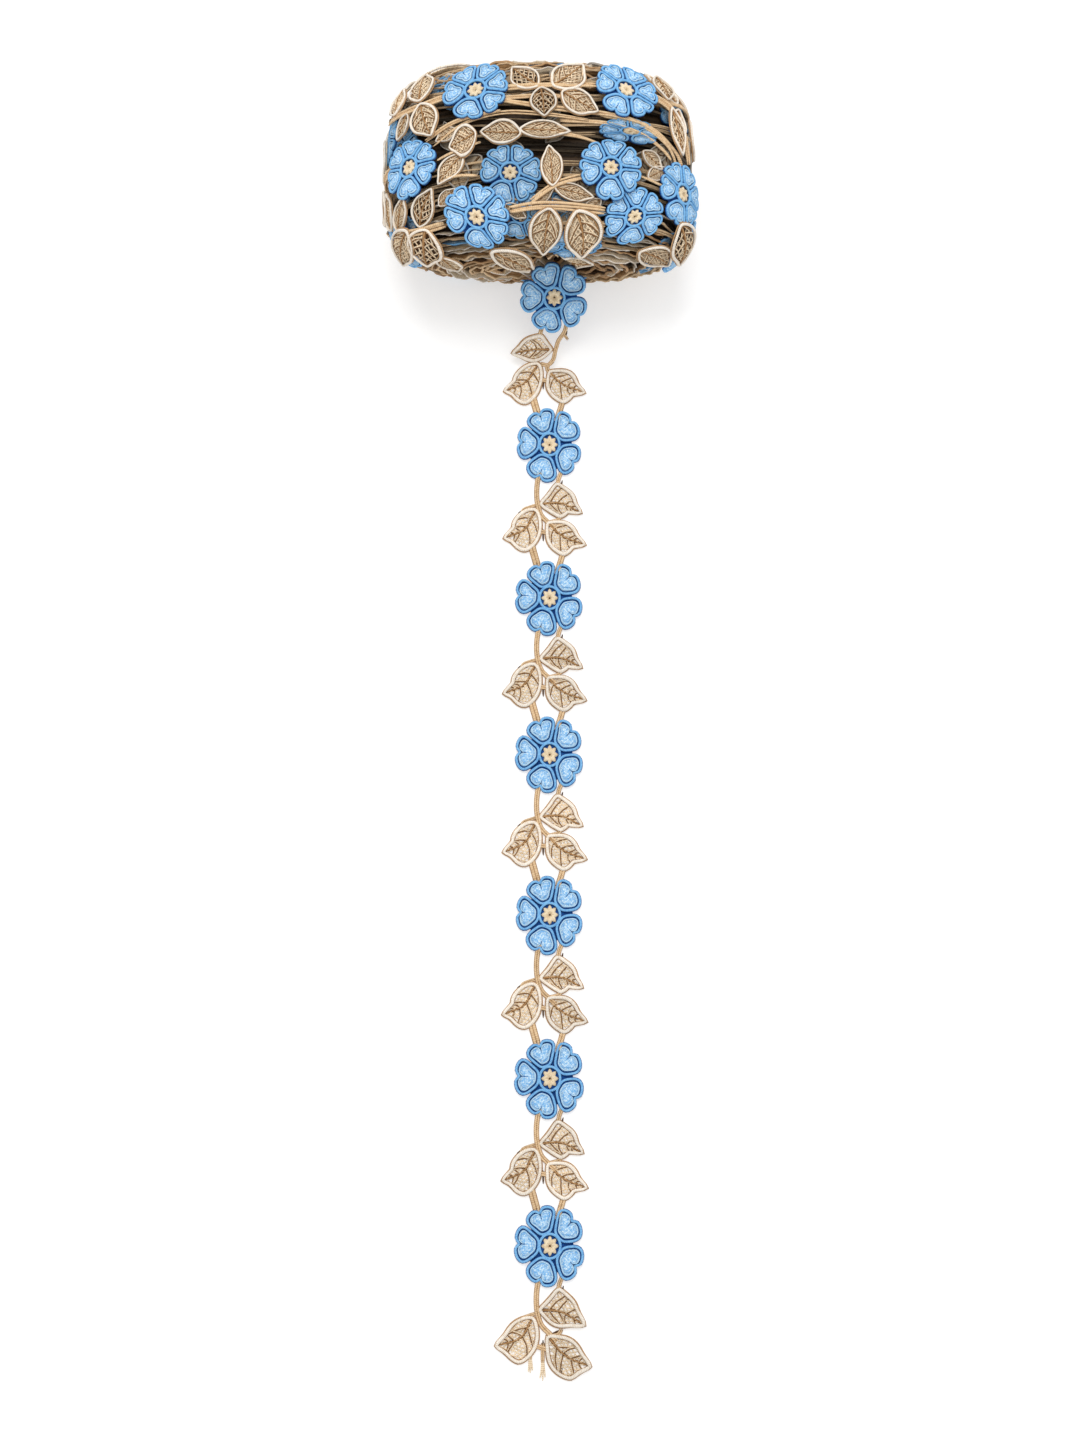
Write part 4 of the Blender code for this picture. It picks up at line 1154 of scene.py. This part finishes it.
def layWeb(work, rim, foot, thickness, thread, tint):  # the sheet under a standing rim
    count = len(rim)
    hem = np.column_stack([rim[:, :2], np.full(count, foot)])
    front = np.vstack([rim, hem]) + (0, thickness, 0)
    back = front - (0, 2 * thickness, 0)
    points = np.vstack([front, back])
    i = np.arange(count - 1)
    a, b, c, d = i, i + 1, i + 1 + count, i + count
    o = 2 * count
    quads = [(a, b, c, d), (b + o, a + o, d + o, c + o), (b, a, a + o, b + o), (d, c, c + o, d + o)]
    quads.append((np.array([0]), np.array([count]), np.array([count + o]), np.array([o])))
    last = np.array([count - 1])
    quads.append((last + count, last, last + o, last + count + o))
    triangles = [np.stack(three, 1) for p, q, r, s in quads for three in ((p, q, r), (p, r, s))]
    triangles = np.concatenate(triangles)
    uv = points[:, [0, 2]] / mm
    work.add(points, triangles, uv[triangles], thread, tint)


def makeEnd(name, side):
    dice = random.Random(70 + side)
    work = Stitching()
    e = endEdges
    power = rollForm["nearPower" if side < 0 else "farPower"][0]
    for share in 1 - 0.9 * np.linspace(0.1, 1, e["rings"]) ** 1.5:
        angle = math.acos(share ** (power / 2))
        along = side * np.interp(angle, profileAngles, profileArc - reach / 2)
        count = max(2, round(girth * share / (0.8 * e["length"])))
        first = dice.uniform(-0.5, 0.5) * girth
        for n in range(count):
            centre = first + girth * (n + dice.uniform(-0.2, 0.2)) / count
            kind = dice.choices(list(edgeKinds), (4, 4, 4, 0.6))[0]
            length = min(e["length"], 0.45 * girth * share) * dice.uniform(0.85, 1.2)
            layEdge(work, centre, along, length, dice.uniform(-2.4, -0.8) * mm, kind, dice)
    return addPiece(name, work)


innerForm = {"depth": 5.2 * mm, "endGap": 0.5 * mm, "ripple": 0.6 * mm, "rippleStep": 1.6 * mm}


def makeInnerTurns():
    f = innerForm
    bpy.ops.mesh.primitive_grid_add(x_subdivisions=72, y_subdivisions=36, size=2)
    piece = bpy.context.object
    piece.name = piece.data.name = "innerTurns"
    flat = np.array([v.co[:] for v in piece.data.vertices])
    along = flat[:, 1] * (reach / 2 - f["endGap"])
    spots = np.column_stack([flat[:, 0] * girth / 2, along, np.full(len(flat), -f["depth"])])
    spots[:, 2] += f["ripple"] * np.sin(along / f["rippleStep"])
    for vertex, point in zip(piece.data.vertices, rollPoints(spots)):
        vertex.co = point
    bpy.ops.object.mode_set(mode="EDIT")
    bpy.ops.mesh.select_all(action="SELECT")
    bpy.ops.mesh.remove_doubles(threshold=0.00002)
    bpy.ops.mesh.select_all(action="DESELECT")
    bpy.ops.mesh.select_non_manifold(extend=False)
    bpy.ops.mesh.fill()
    bpy.ops.mesh.select_all(action="SELECT")
    bpy.ops.mesh.normals_make_consistent(inside=False)
    bpy.ops.object.mode_set(mode="OBJECT")
    bpy.ops.object.shade_smooth()
    layer = piece.data.uv_layers.active
    layer.name = "threads"
    for loop in piece.data.loops:
        co = piece.data.vertices[loop.vertex_index].co
        layer.data[loop.index].uv = (co.y / mm + 0.4 * math.sin(co.x / mm / 9), 0)
    tint = piece.data.attributes.new("tint", "FLOAT", "POINT")
    tint.data.foreach_set("value", np.ones(len(piece.data.vertices), np.float32))
    # its near-black colour is painted shade deep inside the roll
    piece.data.materials.append(threadMaterials["core"])
    piece.select_set(False)
    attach(piece, "root")
    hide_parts("wound_roll")


makeInnerTurns()
rollPieces = makeRollTurns()
rollPieces["nearEndEdges"] = makeEnd("nearEndEdges", -1)
rollPieces["farEndEdges"] = makeEnd("farEndEdges", 1)
wound = rollPieces.pop("rollLeaves")
print("roll made")


def makeFloor():
    bpy.ops.mesh.primitive_plane_add(size=6, location=(0, 0, -0.0002))
    floor = bpy.context.object
    floor.name = "floor"
    look = {
        "Base Color": (0.6, 0.597, 0.594, 1),
        "Emission Color": (1, 1, 1, 1),
        "Emission Strength": 0.5,
        "Roughness": 0.9,
        "Specular IOR Level": 0.1,
    }
    floor.data.materials.append(startMaterial("paleFloor", look)[0])
    floor.select_set(False)


def addLights():
    world = bpy.data.worlds.new("studio")
    world.use_nodes = True
    sky = world.node_tree.nodes["Background"]
    sky.inputs["Color"].default_value = (1, 1, 1, 1)
    sky.inputs["Strength"].default_value = 0.62
    bpy.context.scene.world = world
    for place, size, power in (((-0.1, 0.5, 1.4), 0.8, 12), ((0.3, -0.4, 1.6), 1.2, 4)):
        bpy.ops.object.light_add(type="AREA", location=place)
        light = bpy.context.object
        light.data.size = size
        light.data.energy = power
        aim = np.array([0.0, -0.1, 0.0]) - np.array(place)
        away = np.linalg.norm(aim[:2])
        light.rotation_euler = (math.atan2(away, -aim[2]), 0, math.atan2(aim[1], aim[0]) - math.pi / 2)
        light.select_set(False)


makeFloor()
addLights()
bpy.context.scene.view_settings.view_transform = "Standard"
print("floor and lights placed")
